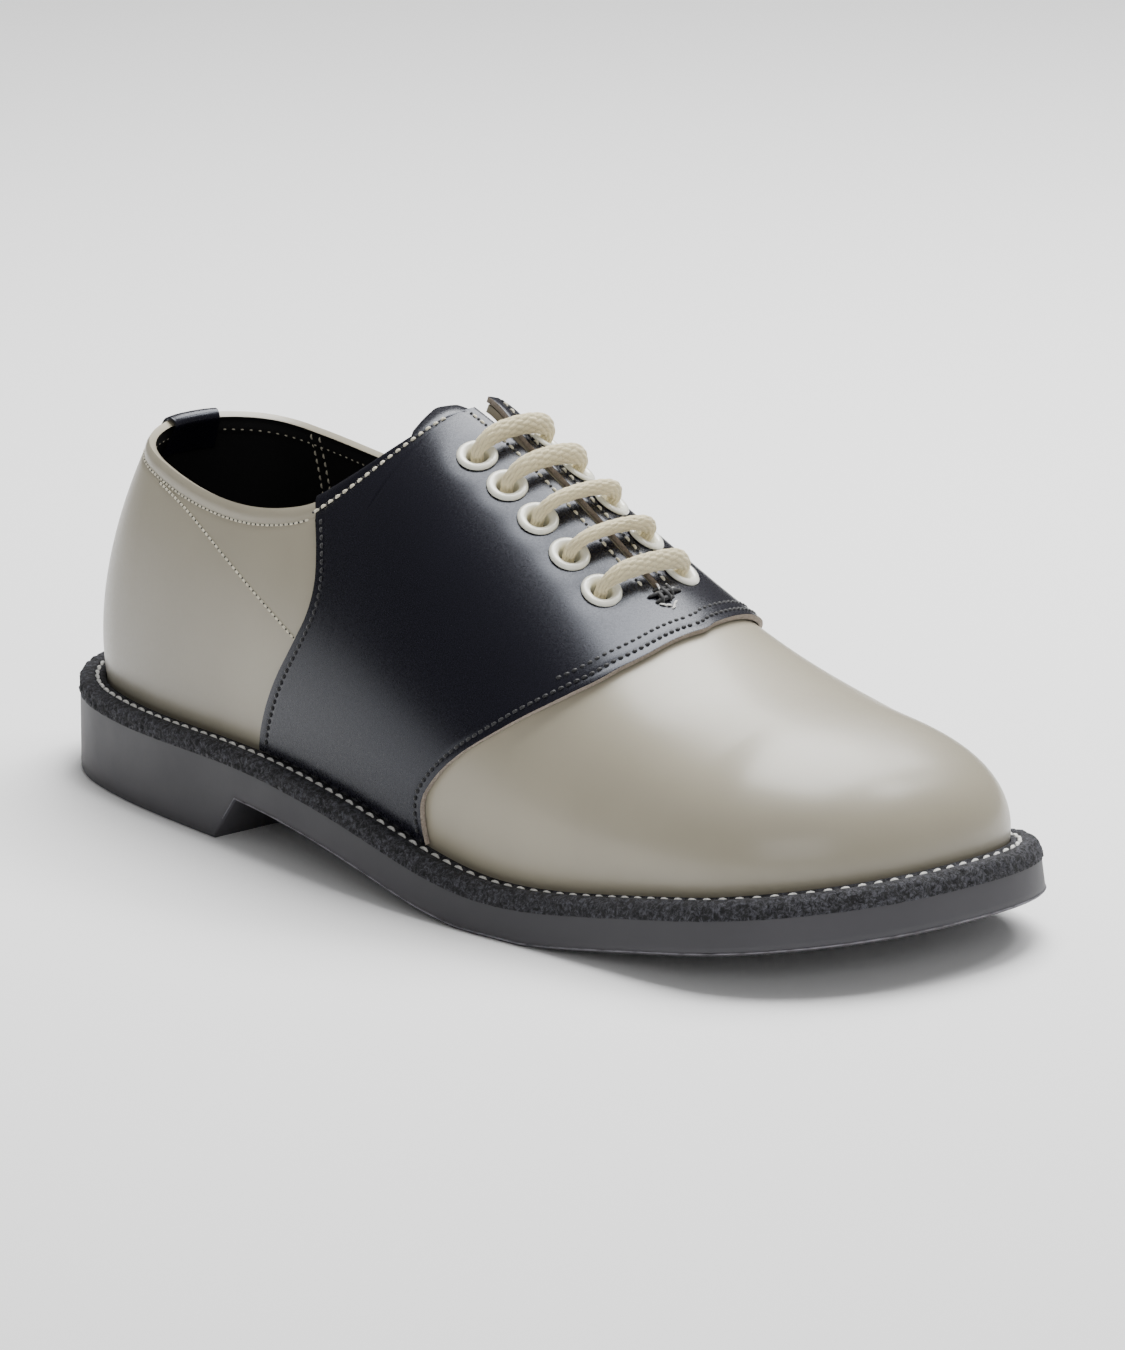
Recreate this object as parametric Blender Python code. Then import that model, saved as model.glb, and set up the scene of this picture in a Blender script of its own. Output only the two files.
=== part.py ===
"""Saddle shoe for the right foot, made as its maker would put it together.

A smooth leather upper is drawn over a last, closed by a welt and a one-piece rubber sole
with its heel, and crossed at the instep by a saddle with five pairs of lace eyelets.

Everything is worked out on three measures: along the sole from the heel, across it
(positive to the little-toe side) and up from the floor. place() turns these into the
part's frame: the toe looks along -Y, the little-toe side is at -X and +Z is up.
Tables hold millimetres and plain shares; the model is in metres.
"""
import math
from collections import namedtuple

import bmesh
import bpy
import numpy as np

MM = 0.001

# Driving dimensions
SOLE_LENGTH = 304 * MM
MEETING_GAP = 0.3 * MM
WELT_THICK = 3.4 * MM
WELT_REACH = 7.0 * MM
WELT_ROUND = 0.6 * MM
FORE_SOLE_THICK = 9.6 * MM
SOLE_FLARE = 2.0 * MM
FLARE_START = 100.0 * MM
FLARE_FULL = 180.0 * MM
FLARE_TOP_SHARE = 0.4
SOLE_BEVEL = 0.8 * MM
UPPER_WALL = 2.0 * MM
SADDLE_WALL = 1.5 * MM
SADDLE_LIFT = 0.4 * MM
INSOLE_THICK = 3.0 * MM
SOLE_ROWS = 42
TONGUE_THICK = 2.0 * MM

# The heel's front face leans forward as it rises to the waist of the sole
BREAST_FOOT = 91.5 * MM
BREAST_HEAD = 101.5 * MM

# The welt's outer edge: half widths across the sole, closed by two rounded ends
WidthRow = namedtuple("WidthRow", "along lateral medial")
SOLE_WIDTHS = (
    WidthRow(0, 27.3, 27.4),
    WidthRow(40, 41.0, 39.5),
    WidthRow(90, 48.0, 34.0),
    WidthRow(130, 52.0, 33.5),
    WidthRow(165, 54.2, 41.0),
    WidthRow(200, 54.6, 50.0),
    WidthRow(235, 53.2, 54.5),
    WidthRow(270, 52.4, 50.5),
    WidthRow(304, 44.4, 45.6),
)
HEEL_ROUND = 34.0 * MM
TOE_ROUND = 38.7 * MM
END_FULLNESS = 2.5
TOE_SWING = -13.0 * MM
SWING_START = 150.0 * MM

# The height of the welt's upper face: the arch, the tread at the ball and the toe spring
HeightRow = namedtuple("HeightRow", "along top")
WELT_HEIGHTS = (
    HeightRow(0, 25.3),
    HeightRow(55, 24.6),
    HeightRow(110, 24.9),
    HeightRow(155, 20.0),
    HeightRow(200, 12.7),
    HeightRow(250, 18.0),
    HeightRow(304, 26.0),
)

# The last: a ridge over the foot, and for each side how the wall leans out at the welt,
# how high it stays upright and how flat it comes in to the ridge
LastRow = namedtuple(
    "LastRow", "along top centre lean_lat lean_med wall_lat wall_med crown_lat crown_med")
LAST = (
    LastRow(45, 121.0, -2.0, 6.0, 6.2, 0.51, 0.52, 0.44, 0.50),
    LastRow(80, 126.0, -1.5, 6.7, 6.8, 0.54, 0.54, 0.54, 0.55),
    LastRow(115, 119.5, -1.1, 7.2, 7.2, 0.56, 0.56, 0.60, 0.59),
    LastRow(150, 108.5, -0.8, 7.4, 7.4, 0.59, 0.59, 0.63, 0.64),
    LastRow(185, 88.5, -2.6, 7.1, 7.2, 0.62, 0.64, 0.66, 0.69),
    LastRow(220, 67.0, -5.9, 6.2, 6.2, 0.62, 0.69, 0.68, 0.74),
    LastRow(255, 57.5, -10.5, 5.0, 4.0, 0.60, 0.62, 0.66, 0.66),
)
EndRow = namedtuple("EndRow", "lean wall crown")
LAST_HEEL = EndRow(7.0, 0.44, 0.10)
LAST_TOE = EndRow(1.5, 0.75, 0.60)

# The topline's height above the floor, behind the facings
TopRow = namedtuple("TopRow", "along top")
TOPLINE = (
    TopRow(7, 91.5),
    TopRow(20, 90.6),
    TopRow(50, 87.3),
    TopRow(80, 85.2),
    TopRow(95, 85.8),
    TopRow(109, 88.3),
    TopRow(118, 91.5),
    TopRow(125, 96.2),
    TopRow(131, 101.4),
    TopRow(135, 106.0),
    TopRow(138, 111.0),
    TopRow(141, 120.0),
)
SLIT_START = 140.0 * MM
SLIT_END = 203.0 * MM
SLIT_HALF_TOP = 1.5 * MM
SLIT_HALF_END = 0.6 * MM

# The saddle's two edges: how far along they lie at each share of the climb to the ridge
EdgeRow = namedtuple("EdgeRow", "climb rear front_lat front_med")
SADDLE_EDGES = (
    EdgeRow(0.00, 105.5, 177.0, 172.0),
    EdgeRow(0.05, 108.5, 173.0, 168.5),
    EdgeRow(0.12, 113.5, 178.0, 172.5),
    EdgeRow(0.22, 122.8, 187.5, 181.5),
    EdgeRow(0.31, 128.3, 196.2, 190.0),
    EdgeRow(0.40, 125.8, 203.0, 196.8),
    EdgeRow(0.50, 118.0, 209.3, 203.0),
    EdgeRow(0.63, 118.0, 214.8, 208.3),
    EdgeRow(0.80, 118.0, 217.4, 212.2),
    EdgeRow(1.00, 118.0, 216.2, 216.2),
)

# Stations of the ribs along the last, and of the saddle's own ribs at its top edge
RIB_STATIONS = (45, 62, 80, 96, 108, 118, 124, 129, 133, 136.5, 140, 149, 161, 173, 184, 194,
                203, 213, 224, 235, 245, 255)
SADDLE_FOOT_CLIMB = 0.006
SADDLE_STATIONS = (118, 124, 129, 133, 136.5, 140, 149, 161, 173, 184, 194, 203, 210, 216.2)
HEEL_RIBS = 7
TOE_RIBS = 8

# Rows of the wall from the welt to its top edge: the low rows stay level while the high
# ones follow the topline
WALL_ROWS = (0.0, 0.09, 0.19, 0.30, 0.41, 0.52, 0.62, 0.72, 0.81, 0.88, 0.94, 1.0)
LEVEL_SHARE = 0.40
FOLLOW_POWER = 2.5

# Eyelets, in five pairs beside the slit
EYELET_PAIRS = 5
EYELET_FIRST = 153.4 * MM
EYELET_STEP = 11.1 * MM
EYELET_CLIMBS = {1: 0.850, -1: 0.858}
EYELET_BORE = 2.6 * MM
EYELET_BARREL = 3.0 * MM
EYELET_FLANGE = 5.2 * MM
EYELET_RISE = 1.0 * MM
EYELET_RIM = 0.3 * MM
EYELET_CROWN = 1.3 * MM
EYELET_SIDES = 12
HOLE_CUT_REACH = 6.0 * MM

# Lace: oval braid, rounder where it goes through an eyelet
LACE_HOLE_HALF = 1.6 * MM
LACE_HOLE_LIFTS = (-4.0 * MM, -0.5 * MM, 1.8 * MM, 4.2 * MM)
LACE_BAR_HALF_WIDTH = 2.7 * MM
LACE_BAR_HALF_THICK = 1.7 * MM
LACE_RUN_HALF_WIDTH = 2.1 * MM
LACE_RUN_HALF_THICK = 1.2 * MM
LACE_RUN_DEPTH = 4.4 * MM
LACE_ARCH = 6.3 * MM
LACE_SIDES = 8
LACE_STEP = 3.5 * MM
LACE_SIDESTEP = 5.2 * MM
LACE_CORNER_CUTS = 4

# Tongue: how deep it lies under the last's surface, and how far down each side it reaches
TongueRow = namedtuple("TongueRow", "along depth climb")
TONGUE = (
    TongueRow(129, 3.2, 0.86),
    TongueRow(132, 2.6, 0.79),
    TongueRow(137, 3.2, 0.75),
    TongueRow(143, 4.8, 0.74),
    TongueRow(150, 6.4, 0.74),
    TongueRow(160, 6.4, 0.75),
    TongueRow(178, 6.4, 0.76),
    TongueRow(204, 6.4, 0.78),
    TongueRow(211, 3.4, 0.80),
    TongueRow(219, 2.4, 0.84),
)
TONGUE_SHARES = (0.0, 0.25, 0.5, 0.75, 1.0)

# The tab folded over the collar at the back seam
TAB_HALF_RIBS = 2
TAB_THICK = 0.8 * MM
TAB_OUTER_DROP = 4.5 * MM
TAB_INNER_DROP = 9.0 * MM


def spline(knots, values, at):
    """Natural cubic spline through the knots, held flat past its two ends"""
    knots = np.asarray(knots, dtype=float)
    values = np.asarray(values, dtype=float)
    count = len(knots)
    gaps = np.diff(knots)
    matrix = np.eye(count)
    right = np.zeros(count)
    for i in range(1, count - 1):
        matrix[i, i - 1:i + 2] = gaps[i - 1], 2 * (gaps[i - 1] + gaps[i]), gaps[i]
        steps = (values[i + 1] - values[i]) / gaps[i] - (values[i] - values[i - 1]) / gaps[i - 1]
        right[i] = 6 * steps
    bends = np.linalg.solve(matrix, right)
    at = np.clip(at, knots[0], knots[-1])
    k = np.clip(np.searchsorted(knots, at) - 1, 0, count - 2)
    low = (knots[k + 1] - at) / gaps[k]
    high = (at - knots[k]) / gaps[k]
    curve = (low ** 3 - low) * bends[k] + (high ** 3 - high) * bends[k + 1]
    return low * values[k] + high * values[k + 1] + curve * gaps[k] ** 2 / 6


def column(table, name):
    return np.array([getattr(row, name) for row in table], dtype=float)


def length_at(table, name, along):
    """A length in a table, read at a distance along the sole"""
    return MM * spline(column(table, "along"), column(table, name), np.asarray(along) / MM)


def share_at(table, name, along):
    return spline(column(table, "along"), column(table, name), np.asarray(along) / MM)


def rounded_end(distance, size):
    """How much of the half width is left at a distance from the sole's end"""
    left = np.clip(1 - distance / size, 0, 1)
    return (1 - left ** END_FULLNESS) ** (1 / END_FULLNESS)


def swing(along):
    """The toe turns towards the big toe, so the middle of the sole moves across"""
    share = np.clip((along - SWING_START) / (SOLE_LENGTH - SWING_START), 0, 1)
    return TOE_SWING * share ** 2


def welt_height(along):
    return length_at(WELT_HEIGHTS, "top", along)


def trace_outline(samples=1200):
    """The welt's outer edge once round, from the heel by the little toe to the toe tip.

    Returns the turn (0 at the heel, half at the toe tip), the points and their outward
    directions, both as (along, across).
    """
    along = SOLE_LENGTH * (1 - np.cos(np.linspace(0, math.pi, samples))) / 2
    ends = rounded_end(along, HEEL_ROUND) * rounded_end(SOLE_LENGTH - along, TOE_ROUND)
    sides = []
    for name, sign in (("lateral", 1), ("medial", -1)):
        across = swing(along) + sign * length_at(SOLE_WIDTHS, name, along) * ends
        walked = np.append(0, np.cumsum(np.hypot(np.diff(along), np.diff(across))))
        even = np.linspace(0, walked[-1], samples)
        sides.append(np.column_stack([np.interp(even, walked, along),
                                      np.interp(even, walked, across)]))
    loop = np.concatenate([sides[0], sides[1][-2:0:-1]])
    turn = np.append(np.linspace(0, 0.5, samples), np.linspace(0.5, 1, samples)[1:-1])
    tangent = np.roll(loop, -1, axis=0) - np.roll(loop, 1, axis=0)
    outward = np.column_stack([-tangent[:, 1], tangent[:, 0]])
    outward /= np.linalg.norm(outward, axis=1)[:, None]
    return turn, loop, outward


TURN, EDGE, OUTWARD = trace_outline()


def outline(turn, reach=0.0):
    """A point of the welt's outer edge, moved outwards by reach"""
    loop = EDGE + OUTWARD * np.reshape(reach, (-1, 1))
    turns = np.append(TURN, 1.0)
    turn = np.mod(turn, 1.0)
    return (np.interp(turn, turns, np.append(loop[:, 0], loop[0, 0])),
            np.interp(turn, turns, np.append(loop[:, 1], loop[0, 1])))


def turn_at(along, side, reach):
    """The turn at which one side of a ring lies a given distance along"""
    turns = np.linspace(0, 0.5, 1500)
    if side < 0:
        turns = 1 - turns
    ring_along, _ = outline(turns, reach)
    return float(np.interp(along, ring_along, turns))


FAN_HEEL = LAST[0].along * MM
FAN_TOE = LAST[-1].along * MM


def by_side(name, along, across, centre, reader):
    lateral = reader(LAST, name + "_lat", along)
    medial = reader(LAST, name + "_med", along)
    return np.where(across >= centre, lateral, medial)


def last_point(turn, climb):
    """A point of the last's surface: climb is 0 at the welt and 1 on the ridge.

    Each rib is one smooth curve from the welt to the ridge. Between the two fans it stands
    across the shoe; at the heel and the toe the ribs meet in one point of the ridge.
    """
    turn = np.asarray(turn, dtype=float)
    climb = np.asarray(climb, dtype=float)
    foot_along, foot_across = outline(turn, -WELT_REACH)
    foot_up = welt_height(foot_along)
    along = np.clip(foot_along, FAN_HEEL, FAN_TOE)
    top = length_at(LAST, "top", along)
    centre = length_at(LAST, "centre", along)
    ahead = np.clip(along + 0.5 * MM, FAN_HEEL, FAN_TOE)
    behind = np.clip(along - 0.5 * MM, FAN_HEEL, FAN_TOE)
    rise = length_at(LAST, "top", ahead) - length_at(LAST, "top", behind)
    slope = rise / (ahead - behind)
    to_along = along - foot_along
    to_across = centre - foot_across
    width = np.hypot(to_along, to_across)
    to_along = to_along / width
    to_across = to_across / width
    lean = by_side("lean", along, foot_across, centre, length_at)
    wall = by_side("wall", along, foot_across, centre, share_at)
    crown = by_side("crown", along, foot_across, centre, share_at)
    at_heel = foot_along < FAN_HEEL
    at_toe = foot_along > FAN_TOE
    endward = np.where(at_heel | at_toe, to_along ** 2, 0)
    lean = lean * (1 - endward) + endward * MM * np.where(at_heel, LAST_HEEL.lean, LAST_TOE.lean)
    wall = wall * (1 - endward) + endward * np.where(at_heel, LAST_HEEL.wall, LAST_TOE.wall)
    crown = crown * (1 - endward) + endward * np.where(at_heel, LAST_HEEL.crown, LAST_TOE.crown)
    tall = top + slope * (foot_along - along) - foot_up
    knots = (
        (foot_along, foot_across, foot_up),
        (foot_along - to_along * lean, foot_across - to_across * lean, foot_up + wall * tall),
        (along - to_along * crown * width, centre - to_across * crown * width,
         top - slope * to_along * crown * width),
        (along, centre, top),
    )
    rest = 1 - climb
    weights = (rest ** 3, 3 * rest ** 2 * climb, 3 * rest * climb ** 2, climb ** 3)
    return np.stack([sum(w * knot[axis] for w, knot in zip(weights, knots))
                     for axis in range(3)], axis=-1)


def ridge_normal(along):
    """The upward direction of the last on its ridge"""
    along = float(np.clip(along, FAN_HEEL + MM, FAN_TOE - MM))
    rise = length_at(LAST, "top", along + MM) - length_at(LAST, "top", along - MM)
    normal = np.array([-rise / (2 * MM), 0.0, 1.0])
    return normal / np.linalg.norm(normal)


def last_normal(turn, climb, step=0.0003):
    """The outward direction of the last's surface"""
    low = np.clip(climb - step, 0, 1 - 2 * step)
    high = np.clip(climb + step, 2 * step, 1 - step)
    middle = np.minimum(climb, 1 - step)
    round_it = last_point(turn + step, middle) - last_point(turn - step, middle)
    up_it = last_point(turn, high) - last_point(turn, low)
    normal = np.cross(up_it, round_it)
    return normal / np.linalg.norm(normal, axis=-1, keepdims=True)


def over_last(turn, climb, lift):
    """A point at a height over the last's surface, or under it where lift is negative"""
    point = last_point(turn, climb)
    if climb >= 1:
        return point + lift * ridge_normal(point[0])
    return point + lift * last_normal(turn, climb)


def topline_climb(turn):
    """The share of a rib that the upper covers: up to the topline, the slit or the ridge"""
    along, _ = outline(turn, -WELT_REACH)
    along = float(along)
    if along >= SLIT_END - 0.1 * MM:
        return 1.0
    climbs = np.linspace(0, 1, 400)
    rib = last_point(turn + 0 * climbs, climbs)
    ups = np.maximum.accumulate(rib[:, 2])
    by_height = float(np.interp(length_at(TOPLINE, "top", along), ups, climbs))
    share = np.clip((along - SLIT_START) / (SLIT_END - SLIT_START), 0, 1)
    half = SLIT_HALF_TOP * (1 - share) + SLIT_HALF_END * share
    from_ridge = np.hypot(*(rib[::-1, :2] - rib[-1, :2]).T)
    by_slit = float(np.interp(half, np.maximum.accumulate(from_ridge), climbs[::-1]))
    return min(by_height, by_slit)


def wall_climb(row, reach):
    """The climb of a row of the wall on a rib that is covered up to reach"""
    return LEVEL_SHARE * row + (reach - LEVEL_SHARE) * row ** FOLLOW_POWER


def place(point):
    """From (along, across, up) to the part's frame"""
    return (-point[1] - MIDDLE_X, SOLE_LENGTH / 2 - point[0] - MIDDLE_Y, point[2])


def sole_flare(along):
    """How far the sole's foot stands out past the welt: nothing at the heel"""
    return SOLE_FLARE * np.clip((along - FLARE_START) / (FLARE_FULL - FLARE_START), 0, 1)


def find_middle():
    """The middle of the shoe's box, so that the part stands on its origin"""
    along, across = outline(TURN, sole_flare(EDGE[:, 0]))
    return (-(across.max() + across.min()) / 2,
            SOLE_LENGTH / 2 - (along.max() + along.min()) / 2)


MIDDLE_X, MIDDLE_Y = find_middle()


def material(name, colour, roughness, metallic=0.0):
    made = bpy.data.materials.new(name)
    made.use_nodes = True
    shader = made.node_tree.nodes["Principled BSDF"]
    shader.inputs["Base Color"].default_value = (*colour, 1.0)
    shader.inputs["Roughness"].default_value = roughness
    shader.inputs["Metallic"].default_value = metallic
    made.diffuse_color = (*colour, 1.0)
    return made


class Solid:
    """A mesh under construction, whose points are named by keys so that seams are shared"""

    def __init__(self):
        self.bm = bmesh.new()
        self.points = {}

    def point(self, key, where):
        if key not in self.points:
            self.points[key] = self.bm.verts.new(place(where))
        return self.points[key]

    def face(self, corners):
        """A face through named points, with doubled corners left out"""
        verts = []
        for key in corners:
            vert = self.points[key]
            if vert not in verts:
                verts.append(vert)
        if len(verts) > 2:
            self.bm.faces.new(verts)

    def strip(self, first, second, closed=False):
        """Faces between two rows of keys of one length"""
        count = len(first)
        for i in range(count if closed else count - 1):
            j = (i + 1) % count
            self.face((first[i], first[j], second[j], second[i]))

    def finish(self, name, look, sharp=35):
        bmesh.ops.recalc_face_normals(self.bm, faces=self.bm.faces)
        bmesh.ops.triangulate(self.bm, faces=self.bm.faces)
        mesh = bpy.data.meshes.new(name)
        self.bm.to_mesh(mesh)
        self.bm.free()
        made = bpy.data.objects.new(name, mesh)
        bpy.context.collection.objects.link(made)
        mesh.materials.append(look)
        mesh.shade_smooth()
        mesh.set_sharp_from_angle(angle=math.radians(sharp))
        return made


def sole_turns(count, side, breaks=()):
    """Even turns down one side of the sole, moved onto the breaks where they are near"""
    turns = list(np.linspace(0, 0.5, count + 1))
    if side < 0:
        turns = [1 - turn for turn in turns]
    for where in breaks:
        exact = turn_at(where, side, 0.0)
        nearest = min(range(len(turns)), key=lambda i: abs(turns[i] - exact))
        turns[nearest] = exact
    return turns


def layer(solid, rings, count, breaks=()):
    """A flat solid across the whole sole: rings of (name, reach, height) from top to floor.

    reach and height are functions of the distance along, and each ring's two sides are
    joined across the sole at the top and at the bottom.
    """
    sides = {side: sole_turns(count, side, breaks) for side in (1, -1)}
    rows = {}
    for name, reach, height in rings:
        for side, turns in sides.items():
            keys = []
            for i, turn in enumerate(turns):
                edge_along, _ = outline(turn)
                along, across = outline(turn, reach(float(edge_along)))
                key = (name, i, 0 if i in (0, count) else side)
                solid.point(key, (float(along), float(across), height(float(edge_along))))
                keys.append(key)
            rows[name, side] = keys
    names = [ring[0] for ring in rings]
    for side in sides:
        for upper, lower in zip(names, names[1:]):
            solid.strip(rows[upper, side], rows[lower, side])
    for name in (names[0], names[-1]):
        solid.strip(rows[name, 1], rows[name, -1])


def sole_floor(along):
    """The underside of the sole: heel, leaning breast, waist, tread and toe spring"""
    waist = max(float(welt_height(along)) - WELT_THICK - FORE_SOLE_THICK, 0.0)
    if along <= BREAST_FOOT + 0.01 * MM:
        return 0.0
    if along >= BREAST_HEAD - 0.01 * MM:
        return waist
    return waist * (along - BREAST_FOOT) / (BREAST_HEAD - BREAST_FOOT)


def build_outsole(look):
    solid = Solid()

    def top(along):
        return float(welt_height(along)) - WELT_THICK

    rings = (
        ("top", lambda a: FLARE_TOP_SHARE * float(sole_flare(a)), top),
        ("side", lambda a: float(sole_flare(a)), lambda a: sole_floor(a) + SOLE_BEVEL),
        ("floor", lambda a: float(sole_flare(a)) - SOLE_BEVEL, sole_floor),
    )
    layer(solid, rings, SOLE_ROWS, (BREAST_FOOT, BREAST_HEAD))
    return solid.finish("outsole", look)


def build_insole(look):
    solid = Solid()
    inset = WELT_REACH + UPPER_WALL + 3 * MEETING_GAP
    low = MEETING_GAP - WELT_THICK
    rings = (
        ("top", lambda a: -inset, lambda a: float(welt_height(a)) + low + INSOLE_THICK),
        ("floor", lambda a: -inset, lambda a: float(welt_height(a)) + low),
    )
    layer(solid, rings, SOLE_ROWS)
    return solid.finish("insole", look)


def build_welt(look):
    """The leather strip round the foot of the upper, its outer edges a little rounded"""
    solid = Solid()
    inner = -(WELT_REACH - MEETING_GAP)
    low = MEETING_GAP - WELT_THICK
    profile = (
        (inner, 0.0),
        (-WELT_ROUND, 0.0),
        (0.0, -WELT_ROUND),
        (0.0, low),
        (inner, low),
    )
    turns = rib_turns(1) + rib_turns(-1)[-2:0:-1]
    rows = []
    for n, (reach, drop) in enumerate(profile):
        keys = []
        for i, turn in enumerate(turns):
            along, across = outline(turn, reach)
            edge_along, _ = outline(turn)
            up = float(welt_height(edge_along)) + drop
            solid.point((n, i), (float(along), float(across), up))
            keys.append((n, i))
        rows.append(keys)
    for n, keys in enumerate(rows):
        solid.strip(keys, rows[(n + 1) % len(rows)], closed=True)
    return solid.finish("welt", look)


def rib_turns(side):
    """The turns of the ribs down one side: heel fan, the stations, toe fan"""
    first = turn_at(FAN_HEEL, side, -WELT_REACH)
    last = turn_at(FAN_TOE, side, -WELT_REACH)
    back = 0.0 if side > 0 else 1.0
    turns = list(np.linspace(back, first, HEEL_RIBS + 1)[:-1])
    turns += [turn_at(station * MM, side, -WELT_REACH) for station in RIB_STATIONS]
    turns += list(np.linspace(last, 0.5, TOE_RIBS + 1)[1:])
    return turns


def wall_point(solid, skin, lift, side, i, turn, row, count):
    """One point of the upper's wall; ribs share it where they meet on the ridge"""
    edge = 0 if i in (0, count - 1) else side
    first_toe = HEEL_RIBS + len(RIB_STATIONS) - 1
    if row == -1:
        key = (skin, i, edge, row)
        along, across = outline(turn, lift - WELT_REACH)
        foot_along, _ = outline(turn, -WELT_REACH)
        up = float(welt_height(foot_along)) - WELT_THICK + MEETING_GAP
        solid.point(key, (float(along), float(across), up))
        return key
    reach = topline_climb(turn)
    climb = wall_climb(WALL_ROWS[row], reach)
    key = (skin, i, edge, row)
    if climb >= 1:
        key = (skin, min(i, first_toe), 0, row)
    solid.point(key, over_last(turn, climb, lift))
    return key


def build_upper(look):
    """The hollow upper: an outer and an inner skin joined at the foot and the topline"""
    solid = Solid()
    rows = range(-1, len(WALL_ROWS))
    ribs = {}
    for side in (1, -1):
        turns = rib_turns(side)
        for skin, lift in (("outer", 0.0), ("inner", -UPPER_WALL)):
            ribs[skin, side] = [
                [wall_point(solid, skin, lift, side, i, turn, row, len(turns)) for row in rows]
                for i, turn in enumerate(turns)]
    slit_rib = HEEL_RIBS + RIB_STATIONS.index(round(SLIT_END / MM))
    for side in (1, -1):
        for skin in ("outer", "inner"):
            for one, two in zip(ribs[skin, side], ribs[skin, side][1:]):
                solid.strip(one, two)
        for end in (0, -1):
            stop = len(ribs["outer", side]) if end == 0 else slit_rib + 1
            solid.strip([rib[end] for rib in ribs["outer", side][:stop]],
                        [rib[end] for rib in ribs["inner", side][:stop]])
    return solid.finish("upper", look)


def saddle_edge(name, climb):
    return MM * np.interp(climb, column(SADDLE_EDGES, "climb"), column(SADDLE_EDGES, name))


def saddle_place(side, share, row):
    """Turn and climb of a point of the saddle, between its rear and its front edge"""
    climb = WALL_ROWS[row]
    for _ in range(8):
        rear, front = saddle_edge("rear", climb), saddle_edge("front_lat", climb)
        along = rear + share * (front - rear)
        if side < 0:
            along += share ** 3 * (saddle_edge("front_med", climb) - front)
        turn = turn_at(along, side, -WELT_REACH)
        climb = wall_climb(WALL_ROWS[row], topline_climb(turn))
    return turn, max(climb, SADDLE_FOOT_CLIMB)


def build_saddle(look):
    """The saddle, cut between two larger forms of the upper and joined over the vamp"""
    solid = Solid()
    top = np.array(SADDLE_STATIONS)
    shares = (top - top[0]) / (top[-1] - top[0])
    rows = range(len(WALL_ROWS))
    slit_rib = SADDLE_STATIONS.index(round(SLIT_END / MM))
    ribs = {}
    for side in (1, -1):
        for skin, lift in (("inner", SADDLE_LIFT), ("outer", SADDLE_LIFT + SADDLE_WALL)):
            made = []
            for i, share in enumerate(shares):
                rib = []
                for row in rows:
                    turn, climb = saddle_place(side, share, row)
                    edge = 0 if row == rows[-1] and i >= slit_rib else side
                    solid.point((skin, i, edge, row), over_last(turn, climb, lift))
                    rib.append((skin, i, edge, row))
                made.append(rib)
            ribs[skin, side] = made
    for side in (1, -1):
        inner, outer = ribs["inner", side], ribs["outer", side]
        for skin in (inner, outer):
            for one, two in zip(skin, skin[1:]):
                solid.strip(one, two)
        solid.strip(inner[0], outer[0])
        solid.strip(inner[-1], outer[-1])
        solid.strip([rib[0] for rib in inner], [rib[0] for rib in outer])
        solid.strip([rib[-1] for rib in inner[:slit_rib + 1]],
                    [rib[-1] for rib in outer[:slit_rib + 1]])
    return solid.finish("saddle", look)


def build_tongue(look):
    """The tongue under the facings, from the vamp up past their top"""
    solid = Solid()
    spans = [(1, share) for share in TONGUE_SHARES]
    spans += [(-1, share) for share in TONGUE_SHARES[-2::-1]]
    rows = {}
    for skin, extra in (("upper", 0.0), ("under", TONGUE_THICK)):
        for r, row in enumerate(TONGUE):
            keys = []
            for k, (side, share) in enumerate(spans):
                turn = turn_at(row.along * MM, side, -WELT_REACH)
                climb = row.climb + (1 - row.climb) * share
                solid.point((skin, r, k), over_last(turn, climb, -row.depth * MM - extra))
                keys.append((skin, r, k))
            rows[skin, r] = keys
    count = len(TONGUE)
    for skin in ("upper", "under"):
        for r in range(count - 1):
            solid.strip(rows[skin, r], rows[skin, r + 1])
    for r in (0, count - 1):
        solid.strip(rows["upper", r], rows["under", r])
    for k in (0, len(spans) - 1):
        solid.strip([rows["upper", r][k] for r in range(count)],
                    [rows["under", r][k] for r in range(count)])
    return solid.finish("tongue", look)


def build_heel_tab(look):
    """A strip folded over the collar at the back seam, down the inside and the outside"""
    solid = Solid()
    near = MEETING_GAP
    far = MEETING_GAP + TAB_THICK
    profile = (
        (far, -TAB_OUTER_DROP),
        (far, near),
        (near, far),
        (-UPPER_WALL - near, far),
        (-UPPER_WALL - far, near),
        (-UPPER_WALL - far, -TAB_INNER_DROP),
        (-UPPER_WALL - near, -TAB_INNER_DROP),
        (-UPPER_WALL - near, near),
        (near, near),
        (near, -TAB_OUTER_DROP),
    )
    ribs = []
    turns = rib_turns(-1)[TAB_HALF_RIBS:0:-1] + rib_turns(1)[:TAB_HALF_RIBS + 1]
    for i, turn in enumerate(turns):
        edge = topline_climb(turn)
        span = last_point(turn, edge) - last_point(turn, edge - 0.05)
        climb_per_metre = 0.05 / np.linalg.norm(span)
        keys = []
        for n, (lift, rise) in enumerate(profile):
            solid.point((i, n), over_last(turn, edge + rise * climb_per_metre, lift))
            keys.append((i, n))
        ribs.append(keys)
    for one, two in zip(ribs, ribs[1:]):
        solid.strip(one, two, closed=True)
    for end in (ribs[0], ribs[-1]):
        for low in range(len(profile) // 2 - 1):
            high = len(profile) - 1 - low
            solid.face((end[low], end[low + 1], end[high - 1], end[high]))
    return solid.finish("heel_tab", look)


def eyelet_seat(side, pair):
    """Centre and axis of an eyelet: pair 0 is the one at the top"""
    turn = turn_at(EYELET_FIRST + pair * EYELET_STEP, side, -WELT_REACH)
    return last_point(turn, EYELET_CLIMBS[side]), last_normal(turn, EYELET_CLIMBS[side])


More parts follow.
